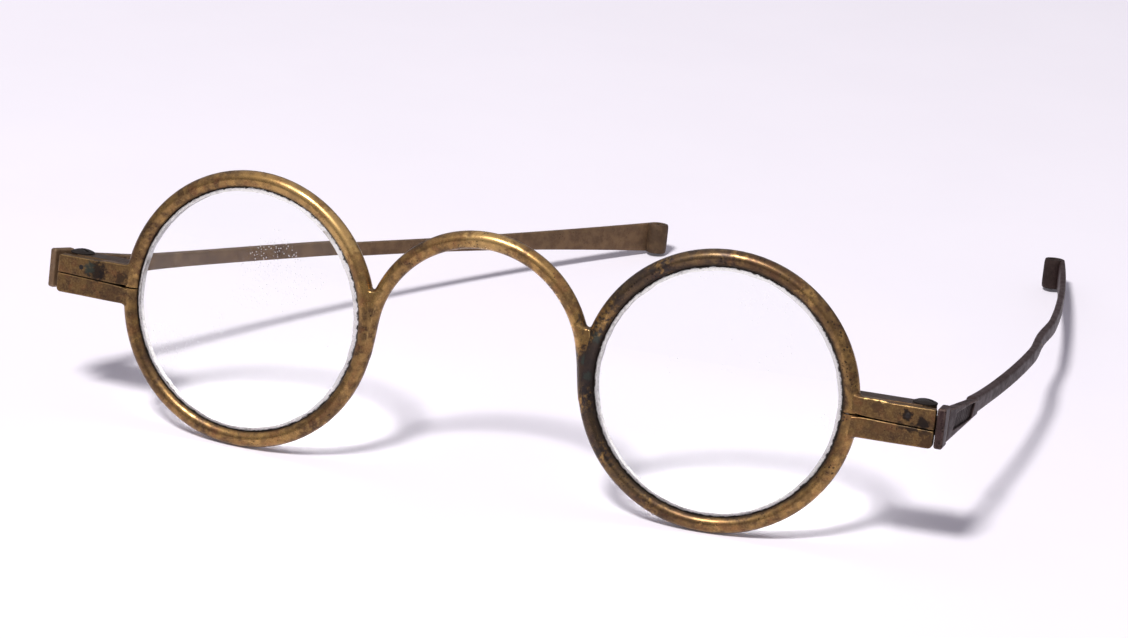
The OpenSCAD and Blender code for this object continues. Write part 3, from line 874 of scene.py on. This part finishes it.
def bridge_field(s):
    """The bridge wire, its two legs and the solder round them, in the front's frame."""
    f = s.front
    half = f.lens_distance / 2
    depth = -f.rim_radius * math.sin(f.wrap)
    share, room = {}, {}
    for side in SIDES:
        tilt = of_side(f, "leg_tilt", side)
        share[side] = 1 - math.sin(tilt)
        room[side] = half * math.cos(tilt) - f.rim_radius - f.crown_height * math.sin(tilt)
    cos_left, cos_right = math.cos(f.leg_tilt_left), math.cos(f.leg_tilt_right)
    radius = ((room[RIGHT] * cos_left + room[LEFT] * cos_right)
              / (share[RIGHT] * cos_left + share[LEFT] * cos_right))
    crown_x = (radius * share[LEFT] - room[LEFT]) / cos_left
    crown_z = f.crown_height - radius

    reach = 0.75  # of the solder from the wire

    def wire(x, y, z):
        u, w = x - crown_x, z - crown_z
        angle = np.arctan2(w, u)
        thick = f.haunch_wire + (f.crown_wire - f.haunch_wire) * smooth(0.3, 1.0, np.sin(angle))
        arc = np.hypot(np.hypot(u, w) - radius, y - depth) - thick
        on_arc = (angle >= f.leg_tilt_right) & (angle <= math.pi - f.leg_tilt_left)
        whole = np.where(on_arc, arc, FAR)
        for side in SIDES:
            tilt = of_side(f, "leg_tilt", side)
            top = (crown_x + side * radius * math.cos(tilt), depth,
                   crown_z + radius * math.sin(tilt))
            foot = (side * (half - f.rim_radius * math.cos(tilt)), depth,
                    -f.rim_radius * math.sin(tilt))
            whole = np.minimum(whole, rod(x, y, z, top, foot, f.haunch_wire, f.leg_wire))
        return whole

    def web(x, z, side, from_lens):
        """How far outside the gap between the bridge wire and its rim's circle."""
        tilt = of_side(f, "leg_tilt", side)
        leg = (half - side * x) * math.cos(tilt) - z * math.sin(tilt) - f.rim_radius
        arc = radius - np.hypot(x - crown_x, z - crown_z)
        wire_side = np.where(z > crown_z + radius * math.sin(tilt), arc, leg)
        return np.maximum.reduce([f.rim_radius - from_lens, wire_side, z - f.notch_height,
                                  f.notch_foot - z])

    def field(x, y, z):
        bare = wire(x, y, z) + 0.02 * waver(x, y, z, 9.0, 5)
        whole = bare
        for side in SIDES:
            out = side * (x - side * half)
            local_x = out * math.cos(f.wrap) + y * math.sin(f.wrap)
            local_y = -out * math.sin(f.wrap) + y * math.cos(f.wrap)
            rim = ring(local_x, local_y, z, f.rim_radius, f.wire_radius - RIM_INSET)
            from_lens = np.hypot(local_x, z)
            solder = np.maximum(web(x, z, side, from_lens), np.abs(y - depth) - f.web)
            solder = np.where(side * x > 0, solder, FAR)
            soft = solder_width(f.solder_blend, from_lens - f.rim_radius)
            whole = blend_min(blend_min(whole, rim, soft), solder, soft)
            cut = f.rim_radius - from_lens
            whole = np.where(local_x < 0, np.maximum(whole, cut), whole)
        return np.maximum(whole, bare - reach)

    return field


class SPECTACLES_OT_bridge(bpy.types.Operator):
    """Forms the bridge wire and solders its legs to the rims"""
    bl_idname = "spectacles.bridge"
    bl_label = "Bridge"

    def execute(self, context):
        s = sizes(context)
        c = s.finishes
        stains = stains_on(
            s, RIGHT, (-31, 14.5, 3.5, c.worn_brass, 0.45), (-17.3, 6.5, 1.4, c.soot, 0.8),
            (-17.0, 0, 3.2, c.soot, 0.85), (-16.9, 5.6, 0.45, c.verdigris, 0.6),
            (-16.9, 1.6, 0.6, c.verdigris, 0.5))
        stains += stains_on(s, LEFT, (-17.2, 6.3, 1.1, c.tarnish, 0.8))
        finish = old_metal(c, "bridge_metal", c.brass, c.worn_brass, c.tarnish, c.copper, 0.7,
                           stains=stains)
        cast(bridge_field(s), (-18.5, -3.6, -6.5), (18.5, 1.4, 16.5), COARSE,
             "bridge_wire", front_frame(s), finish, "front", "bridge")
        return {"FINISHED"}


def plate_field(s, side, half):
    """An end plate soldered to its rim, and where it is darker; half is 1 above the parting line
    and -1 below."""
    f, e = s.front, s.ends
    rise, tilt = of_side(e, "rise", side), of_side(e, "tilt", side)
    level = rise + half * e.height / 2
    overlap, reach = 1.5, 0.5  # of the plate on the rim, and of the solder from the plate
    low = (f.rim_radius - overlap, e.front, min(level, -1.0))
    high = (e.reach, e.front + e.thickness, max(level, 1.0))

    def past_parting(x, z):
        return half * (z - (x - f.rim_radius) * math.tan(tilt)) - e.gap / 2

    def field(x, y, z):
        block = rounded_block(x, y, z, low, high, e.rounding)
        block = block + 0.03 * waver(x, y, z, 6.0, 3 + side + half)
        corner = np.hypot(np.maximum(x - e.reach + e.corner, 0),
                          np.maximum(np.abs(z - rise) - e.height / 2 + e.corner, 0)) - e.corner
        block = blend_max(block, corner, 0.15)
        if half > 0:
            block = blend_max(block, z - level + e.dip * smooth(20.0, 22.0, x), 0.1)
        rim = ring(x, y, z, f.rim_radius, f.wire_radius - RIM_INSET)
        from_lens = np.hypot(x, z)
        soft = solder_width(e.blend, from_lens - f.rim_radius)
        whole = blend_min(block, rim, soft)
        wedge = 0.16 * np.exp(-np.maximum(x - f.rim_radius - 0.6, 0) / 0.9)
        whole = blend_max(whole, wedge - past_parting(x, z), 0.12)
        whole = np.maximum(whole, f.rim_radius - from_lens)
        return np.maximum(whole, block - reach)

    def dirt(x, y, z):
        """Darker along the parting line."""
        return 0.9 * np.exp(-(np.maximum(past_parting(x, z), 0) / 0.2) ** 2)

    return field, dirt


class SPECTACLES_OT_end_plates(bpy.types.Operator):
    """Solders two end plates to the ends of each rim"""
    bl_idname = "spectacles.end_plates"
    bl_label = "End plates"

    def execute(self, context):
        s = sizes(context)
        c = s.finishes
        stains = {
            LEFT: stains_on(
                s, LEFT, (21.7, 1.4, 1.5, c.grime, 0.9), (22.7, 1.6, 0.8, c.verdigris, 0.45),
                (20.9, 1.1, 0.7, c.grime, 0.9), (18.1, 0.9, 1.1, c.grime, 0.7),
                (19.5, -1.6, 1.6, c.tarnish, 0.5)),
            RIGHT: stains_on(
                s, RIGHT, (23.9, 1.0, 0.75, c.grime, 0.95), (26.0, 0.2, 0.95, c.grime, 0.95),
                (23.4, -0.45, 0.6, c.grime, 0.7), (24.8, -0.5, 0.75, c.grime, 0.85),
                (26.4, -0.55, 0.9, c.grime, 0.6), (26.8, -2.2, 1.2, c.tarnish, 0.8),
                (20, 1.4, 0.9, c.tarnish, 0.6), (20.6, -1.2, 1.6, c.tarnish, 0.4),
                # The worn-brass spots along the upper plate's top edge near the rim are a painted
                # highlight
                (18.7, 2.45, 0.4, c.worn_brass, 0.7), (19.8, 2.45, 0.4, c.worn_brass, 0.8),
                (20.9, 2.45, 0.45, c.worn_brass, 0.9))}
        for side, word in SIDES.items():
            finish = old_metal(c, f"plate_metal_{word}", c.plate, c.worn_brass, c.tarnish,
                               c.copper, 0.5, rubbed=0.14, roughness=(0.36, 0.52),
                               stains=stains[side])
            for half, place in HALVES.items():
                top = 3.6 if half > 0 else 1.2
                field, dirt = plate_field(s, side, half)
                cast(field, (15.6, -1.8, top - 4.8), (27.9, 1.4, top), FINE,
                     f"{place}_plate_{word}_metal", side_frame(s, side), finish,
                     "front", f"{place}_plate_{word}", dirt)
        return {"FINISHED"}


def leaf_field(s, half):
    """One leaf of a joint, behind its end plate, in the frame of the hinge."""
    h, e = s.hinges, s.ends
    back = e.front + e.thickness - h.depth + 0.01
    low, high = sorted((half * 0.02, half * h.half_height))

    def field(x, y, z):
        block = rounded_block(x, y, z, (-h.leaf_length, back, low), (0.2, h.knuckle, high), 0.12)
        across = np.hypot(x, y)
        post = np.maximum(across - h.knuckle, np.maximum(low - z, z - high))
        whole = np.minimum(np.maximum(block, x), post)
        well = np.maximum(across - h.well, half * z - h.middle_height / 2 - h.play)
        whole = blend_max(whole, -well, 0.1)
        return np.maximum(whole, h.shank - across)

    return field


class SPECTACLES_OT_joints(bpy.types.Operator):
    """Sets two joint leaves behind each pair of end plates"""
    bl_idname = "spectacles.joints"
    bl_label = "Joints"

    def execute(self, context):
        s = sizes(context)
        c = s.finishes
        finish = old_metal(c, "joint_metal", c.joint, c.plate, c.tarnish, c.tarnish, 0.6,
                           rubbed=0.5, roughness=(0.42, 0.62))
        for side, word in SIDES.items():
            for half, place in HALVES.items():
                middle = 1.3 * half
                cast(leaf_field(s, half), (-9.5, -2.1, middle - 1.6), (1.9, 1.9, middle + 1.6),
                     FINE, f"{place}_joint_{word}_metal", hinge_frame(s, side), finish,
                     "front", f"{place}_joint_{word}")
        return {"FINISHED"}


class SPECTACLES_OT_fasteners(bpy.types.Operator):
    """Makes the slotted hinge screws and the rivets"""
    bl_idname = "spectacles.fasteners"
    bl_label = "Screws and rivets"

    def execute(self, context):
        s = sizes(context)
        h, e, c = s.hinges, s.ends, s.finishes
        finish = old_metal(c, "screw_metal", c.steel, WORN_STEEL, c.grime, c.grime, 0.5,
                           rubbed=0.5, metallic=0.6, shine=0.3, roughness=(0.4, 0.6))
        screw, rivet = screw_tree(), rivet_tree()
        slot_turn = {LEFT: 0.5, RIGHT: -0.3}
        for side, word in SIDES.items():
            mesh = grown(screw, Head_Radius=h.head, Head_Height=h.head_height,
                         Shank_Radius=h.shank, Shank_Length=2 * h.half_height,
                         Slot_Width=h.slot, Slot_Turn=slot_turn[side], Material=finish)
            x, y, z = places(mesh).T
            edge = np.exp(-((np.hypot(x, y) - h.head) / 0.15) ** 2) * (z > 0.1)
            mark(mesh, wear=edge, grime=(z < h.head_height * 0.6) * 0.7)
            place = hinge_frame(s, side) @ Matrix.Translation((0, 0, h.half_height))
            finished(mesh, f"hinge_screw_{word}_metal", place, finish, "front",
                     f"hinge_screw_{word}", sharp=30)
            mesh = grown(rivet, Radius=h.rivet, Length=h.rivet_length, Material=finish)
            place = side_frame(s, side) @ Matrix.Translation(
                (h.reach - h.knuckle, e.front, of_side(e, "rise", side) + e.height * 0.23))
            finished(mesh, f"rivet_{word}_metal", place, finish, "front",
                     f"rivet_{word}", sharp=50)
        return {"FINISHED"}


def temple_lines(s, side):
    """The arm's middle line: x and z as functions of y, in the frame of the temple, and the y of
    its eye."""
    t, f = s.temples, s.front
    inner = t.shoulder_x + (t.panel_end - s.hinges.knuckle) * math.tan(t.panel_flare)
    outer = (t.shoulder_x + t.shoulder_thickness
             + (t.panel_end - t.panel_start) * math.tan(t.panel_flare))
    start = (inner + outer) / 2 - t.arm_inset
    flare, bow, dip = (of_side(t, name, side) for name in ("flare", "bow", "dip"))
    eye_y = t.whole - t.eye_radius

    def line_x(y):
        run = y - t.panel_end
        dent = 0.0
        if side == RIGHT:
            off = np.clip(2 * (y - t.dent_place) / t.dent_length, -1, 1)
            dent = t.dent_depth * (1 + np.cos(math.pi * off)) / 2
        return start + run * math.tan(flare) - run * run / (2 * bow) - dent

    # The tip's lower edge lies on the table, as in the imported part
    swing = t.swing_left if side == LEFT else 0.0
    eye_x = line_x(eye_y) + t.tip_thickness / 2 - t.eye_radius
    out = s.hinges.reach + eye_x * math.cos(swing) - eye_y * math.sin(swing)
    back = s.hinges.depth + eye_x * math.sin(swing) + eye_y * math.cos(swing)
    reach = out * math.sin(f.wrap) + back * math.cos(f.wrap) + t.eye_radius
    low = (reach * math.sin(f.lean) - rim_reach(f, math.sin(f.lean))) / math.cos(f.lean)
    tip = low + t.tip_height / 2 - of_side(s.ends, "rise", side)

    def line_z(y):
        along = np.maximum(0, y - t.panel_start) / (eye_y - t.panel_start)
        return tip * along - 4 * dip * along * (1 - along)

    return line_x, line_z, eye_y


def joint_piece_field(s, side):
    """Knuckle, shoulder and side panel of a temple, and how much darker the panel's sunk field
    is.
    """
    t, h = s.temples, s.hinges
    line_z = temple_lines(s, side)[1]
    outer = t.shoulder_x + t.shoulder_thickness
    flare = math.tan(t.panel_flare)
    end_z = float(line_z(np.float64(t.panel_end)))
    web = h.knuckle / 3
    soft, softer = 0.12, 0.16  # of the worn edges
    shoulder_low = (t.shoulder_x, t.shoulder_front, t.shoulder_lift - t.shoulder_height / 2)
    shoulder_high = (outer, t.shoulder_back, t.shoulder_lift + t.shoulder_height / 2)

    def past_panel(x, y):
        return x - outer - (y - t.panel_start) * flare

    def field(x, y, z):
        shoulder = rounded_block(x, y, z, shoulder_low, shoulder_high, 0.3)
        share = (y - t.panel_start) / (t.panel_end - t.panel_start)
        middle = end_z * share
        tall = (t.panel_height + (t.panel_end_height - t.panel_height) * share) / 2
        inner_face = t.shoulder_x + np.maximum(y - h.knuckle, 0) * flare - x
        outer_face = past_panel(x, y)
        panel = blend_max(inner_face, outer_face, soft)
        panel = blend_max(panel, np.abs(z - middle) - tall, softer)
        panel = blend_max(panel, np.maximum(-y, y - t.panel_end), softer)
        inset = np.minimum(t.field_height / 2, tall - t.field_border)
        leaning = y - math.tan(t.field_slant) * (z - middle)
        sunk = np.maximum(np.abs(z - middle) - inset,
                          np.maximum(t.field_start - leaning, leaning - t.field_end))
        sunk = np.maximum(sunk, -outer_face - t.field_depth)
        panel = blend_max(panel, -sunk, 0.06)
        whole = blend_min(shoulder, panel, soft)
        notch = np.hypot(x - outer - 0.04, y - t.shoulder_back) - 0.2
        whole = blend_max(whole, -notch, 0.08)
        across = np.hypot(x, y)
        height = h.middle_height / 2
        knuckle = np.maximum(across - h.knuckle, np.abs(z) - height)
        arm = np.maximum(np.maximum(np.abs(z) - height, np.abs(y + (h.knuckle - web) / 2)
                                    - (h.knuckle + web) / 2),
                         np.maximum(-x, x - t.shoulder_x - 0.5))
        whole = np.minimum(whole, np.minimum(knuckle, arm))
        return np.maximum(whole, h.shank + h.bore_play - across)

    def dirt(x, y, z):
        """Darker in the sunk field of the panel, most of all on its stippled ground."""
        inside = smooth(0.05, 0.12, -past_panel(x, y))
        inside *= (smooth(-0.2, 0.1, y - t.field_start + 1.0)
                   * smooth(0.2, -0.1, y - t.field_end - 0.6))
        stipple = 0.9 + 0.5 * np.sin(7 * y) * np.sin(9 * z)
        return inside * (x > t.shoulder_x + 0.6) * stipple

    return field, dirt


def arm_mesh(s, side):
    """The slender arm, widening to a paddle whose end is rolled into an eye."""
    t = s.temples
    line_x, line_z, eye_y = temple_lines(s, side)
    tuck, step = 0.8, 0.05  # into the panel, and between the places that give a slope
    straight = np.linspace(t.panel_end - tuck, eye_y, 150)
    root_height, root_length = 0.45, 4
    sections = []
    for y in straight:
        slope = (line_x(y + step) - line_x(y - step)) / (2 * step)
        along = (y - t.panel_end) / (eye_y - t.panel_end)
        thick = t.arm_thickness + (t.tip_thickness - t.arm_thickness) * max(along, 0)
        widen = max(0, y - t.paddle_start) / (t.whole - t.paddle_start)
        tall = t.arm_height + (t.tip_height - t.arm_height) * widen ** 1.9
        tall += root_height * math.exp(-max(y - t.panel_end, 0) / root_length)
        normal = np.array([1, -slope]) / math.hypot(1, slope)
        sections.append((np.array([line_x(y), y]), normal, line_z(y), thick, tall))
    middle, normal, height, thick, tall = sections[-1]
    centre = middle - normal * (t.eye_radius - thick / 2)
    begin = math.atan2(normal[1], normal[0])
    roll = math.radians(315)
    for turned in np.linspace(0, roll, 60)[1:]:
        way = np.array([math.cos(begin + turned), math.sin(begin + turned)])
        slim = thick - (thick - (t.eye_radius - t.eye_hole)) * min(turned, 1.0)
        sections.append((centre + way * (t.eye_radius - slim / 2), way, height, slim, tall))
    around = 32
    angles = (np.arange(around) + 0.5) * 2 * math.pi / around
    squareness = 0.42
    unit_a, unit_b = (np.sign(v) * np.abs(v) ** squareness
                      for v in (np.cos(angles), np.sin(angles)))
    points, edge = [], []
    last, worn_end = len(sections) - 1, 0.82
    for number, (middle, normal, height, thick, tall) in enumerate(sections):
        closing = worn_end if number in (0, last) else 1.0
        for a, b in zip(unit_a, unit_b):
            flat = middle + normal * a * thick / 2 * closing
            points.append((flat[0], flat[1], height + b * tall / 2 * closing))
            edge.append(abs(a * b) ** 4)
    faces = band(last + 1, around)
    faces.append(tuple(range(around))[::-1])
    faces.append(tuple(last * around + k for k in range(around)))
    mesh = mesh_of("arm", points, faces)
    # The arm darkens towards its rolled eye: grime, and painted shade of the roll
    rolled = np.repeat(np.arange(last + 1), around) - len(straight)
    mark(mesh, wear=np.array(edge), grime=smooth(-4, 6, rolled) * 0.6)
    face_outwards(mesh)
    return mesh


class SPECTACLES_OT_temples(bpy.types.Operator):
    """Makes the two temples, each a joint piece and an arm with a rolled tip"""
    bl_idname = "spectacles.temples"
    bl_label = "Temples"

    def execute(self, context):
        s = sizes(context)
        c = s.finishes
        for side, word in SIDES.items():
            base, pale, dark = (of_side(c, name, side) for name in ("temple", "pale", "dark"))
            panel = old_metal(c, f"panel_metal_{word}", base, pale, dark, dark, 0.7, rubbed=0.7,
                              metallic=0.35, shine=0.15, roughness=(0.40, 0.58))
            arm = old_metal(c, f"arm_metal_{word}", base, pale, dark, dark, 0.5, rubbed=0.35,
                            metallic=0.35, shine=0.15, roughness=(0.42, 0.6))
            body = f"temple_{word}"
            field, dirt = joint_piece_field(s, side)
            cast(field, (-1.8, -3.3, -3.0), (5.6, 13.3, 3.2), MEDIUM,
                 f"temple_joint_{word}_metal", temple_frame(s, side), panel,
                 body, f"temple_joint_{word}", dirt)
            finished(arm_mesh(s, side), f"temple_arm_{word}_metal", temple_frame(s, side), arm,
                     body, f"temple_arm_{word}", sharp=60)
        return {"FINISHED"}


def lens_mesh(g, seed, materials):
    """A lens with two slightly curved faces and a chipped bevel between them."""
    around, steps = 160, 10
    random = np.random.default_rng(seed)
    ragged = np.convolve(random.normal(size=around * 3), [0.25, 0.5, 0.25], "same")
    ragged = ragged[around:2 * around] * g.chips
    ragged[0] = ragged[-1]
    radii = [g.clear * i / steps for i in range(1, steps)]

    def thick(r):
        return g.edge / 2 + (g.clear ** 2 - r * r) / (2 * g.curve)

    rows = [[(r, -thick(r))] * around for r in radii]
    rows.append([(g.clear + w, -g.edge / 2) for w in ragged])
    rows.append([(g.radius, -g.rim_edge / 2)] * around)
    rows.append([(g.radius, g.rim_edge / 2)] * around)
    rows.append([(g.clear + w, g.edge / 2) for w in ragged])
    rows += [[(r, thick(r))] * around for r in radii[::-1]]
    points = [(r * math.cos(a), y, r * math.sin(a)) for row in rows
              for (r, y), a in zip(row, np.arange(around) * 2 * math.pi / around)]
    front, back = len(points), len(points) + 1
    points += [(0, -thick(0), 0), (0, thick(0), 0)]
    faces = band(len(rows), around)
    matt = [steps - 1 <= row < steps + 2 for row in range(len(rows) - 1) for _ in range(around)]
    end = (len(rows) - 1) * around
    for k in range(around):
        after = (k + 1) % around
        faces += [(front, after, k), (back, end + k, end + after)]
        matt += [False, False]
    mesh = mesh_of("lens", points, faces)
    x, _, z = np.array(points).T
    mark(mesh, grime=(np.hypot(x, z) - g.clear) / (g.radius - g.clear))
    for material in materials:
        mesh.materials.append(material)
    for face, is_matt in zip(mesh.polygons, matt):
        face.material_index = int(is_matt)
    face_outwards(mesh)
    return mesh


class SPECTACLES_OT_lenses(bpy.types.Operator):
    """Grinds the two lenses with their matt, chipped bevels"""
    bl_idname = "spectacles.lenses"
    bl_label = "Lenses"

    def execute(self, context):
        s = sizes(context)
        c = s.finishes
        materials = clear_glass("lens_glass", c.glass), ground_glass("lens_bevel", c.ground_glass)
        for side, word in SIDES.items():
            finished(lens_mesh(s.lenses, 7 + side, materials), f"lens_{word}_glass",
                     side_frame(s, side), None, "front", f"lens_{word}", sharp=20)
        return {"FINISHED"}


# Stage

LAMP_PLACE, LAMP_SIZE, LAMP_POWER = (-0.112, -0.824, 1.248), 0.28, 20.8
LAMP_COLOUR = (1.0, 0.99, 0.97)
TABLE_HALF = 3.0
TABLE_GLOW, GLOW_COLOUR = 0.05, (0.98, 0.95, 1.0, 1.0)
BACKDROP = (0.93, 0.90, 0.96)
FILL = (0.25, 0.24, 0.275)
ROOM_LOW, ROOM_HIGH = (0.10, 0.10, 0.11), (0.80, 0.78, 0.84)
SENSOR, FOCAL_LENGTH = 36.0, 143.617
EYE = (0.17646, -0.55259, 0.21543)
EYE_RIGHT = (0.9417, 0.3322, 0.0543)
EYE_UP = (-0.1621, 0.3062, 0.9381)
EYE_BACK = (0.2950, -0.8922, 0.3421)


def key_lamp():
    lamp = bpy.data.lights.new("key_lamp", "AREA")
    lamp.shape = "DISK"
    lamp.size, lamp.energy, lamp.color = LAMP_SIZE, LAMP_POWER, LAMP_COLOUR
    holder = bpy.data.objects.new("key_lamp", lamp)
    holder.location = LAMP_PLACE
    holder.rotation_euler = (-Vector(LAMP_PLACE)).to_track_quat("-Z", "Y").to_euler()
    return holder


def table_top(colour):
    """Near-white table: it shows the shadows, and looks as pale to metal and glass as to the
    eye."""
    material, plan, shader, surface, where = new_material("table_paper")
    faint = plan.spread(plan.noise(where, 30.0, 3.0), 0.3, 0.7)
    tone = plan.mix(faint, [v * 0.985 for v in colour], colour)
    for key, value in (("Base Color", tone), ("Roughness", 0.85), ("Specular IOR Level", 0.2)):
        plan.feed(shader.inputs[key], value)
    seen = plan.maths("MAXIMUM", plan.ray("Camera"),
                      plan.maths("MAXIMUM", plan.ray("Glossy"), plan.ray("Transmission")))
    glow = plan.out("ShaderNodeEmission", {
        "Color": GLOW_COLOUR, "Strength": plan.maths("MULTIPLY", seen, TABLE_GLOW)})
    plan.feed(surface, plan.out("ShaderNodeAddShader", {0: shader.outputs[0], 1: glow}))
    return material


def studio():
    """A plain pale room: one tone behind the table, a gradient in reflections, a low fill."""
    world = bpy.data.worlds.new("studio")
    world.use_nodes = True
    world.node_tree.nodes.clear()
    plan = Plan(world.node_tree)
    way = plan.add("ShaderNodeTexCoord").outputs["Generated"]
    height = plan.add("ShaderNodeSeparateXYZ", {"Vector": way}).outputs["Z"]
    room = plan.mix(plan.spread(height, 0.0, 0.75), ROOM_LOW, ROOM_HIGH)
    seen = plan.maths("MAXIMUM", plan.ray("Camera"), plan.ray("Transmission"))
    shine = plan.mix(plan.ray("Glossy"), FILL, room)
    shine = plan.mix(seen, shine, BACKDROP)
    background = plan.out("ShaderNodeBackground", {"Color": shine, "Strength": 1.0})
    plan.feed(plan.add("ShaderNodeOutputWorld").inputs["Surface"], background)
    return world


class SPECTACLES_OT_stage(bpy.types.Operator):
    """Sets the table, the soft light and the camera"""
    bl_idname = "spectacles.stage"
    bl_label = "Stage"

    def execute(self, context):
        scene = context.scene
        half = TABLE_HALF
        mesh = mesh_of("table", [(-half, -half, 0), (half, -half, 0), (half, half, 0),
                                 (-half, half, 0)], [(0, 1, 2, 3)])
        mesh.materials.append(table_top(sizes(context).finishes.floor))
        table = bpy.data.objects.new("table", mesh)
        scene.collection.objects.link(table)
        scene.world = studio()
        scene.collection.objects.link(key_lamp())

        camera = bpy.data.cameras.new("camera")
        camera.sensor_width, camera.lens = SENSOR, FOCAL_LENGTH
        camera.clip_start, camera.clip_end = 0.01, 20.0
        eye = bpy.data.objects.new("camera", camera)
        turned = Matrix((EYE_RIGHT, EYE_UP, EYE_BACK)).transposed()
        eye.matrix_world = Matrix.Translation(EYE) @ turned.to_4x4()
        scene.collection.objects.link(eye)
        scene.camera = eye
        scene.view_settings.view_transform = "Standard"
        return {"FINISHED"}


# Add-on

OPERATORS = (SPECTACLES_OT_rims, SPECTACLES_OT_bridge, SPECTACLES_OT_end_plates,
             SPECTACLES_OT_joints, SPECTACLES_OT_fasteners, SPECTACLES_OT_temples,
             SPECTACLES_OT_lenses, SPECTACLES_OT_stage)


class SPECTACLES_PT_panel(bpy.types.Panel):
    """Lists the pieces of the spectacles"""
    bl_label = "Spectacles"
    bl_idname = "SPECTACLES_PT_panel"
    bl_space_type = "VIEW_3D"
    bl_region_type = "UI"
    bl_category = "Spectacles"

    def draw(self, context):
        for operator in OPERATORS:
            self.layout.operator(operator.bl_idname)


def register():
    for made in (*GROUPS.values(), *OPERATORS, SPECTACLES_PT_panel):
        bpy.utils.register_class(made)
    for key, group in GROUPS.items():
        setattr(bpy.types.Scene, "spectacle_" + key, bpy.props.PointerProperty(type=group))


def unregister():
    for key in GROUPS:
        delattr(bpy.types.Scene, "spectacle_" + key)
    for made in (SPECTACLES_PT_panel, *OPERATORS[::-1], *GROUPS.values()):
        bpy.utils.unregister_class(made)


def main():
    register()
    for operator in OPERATORS:
        getattr(bpy.ops.spectacles, operator.bl_idname.split(".")[1])()


if __name__ == "__main__":
    main()
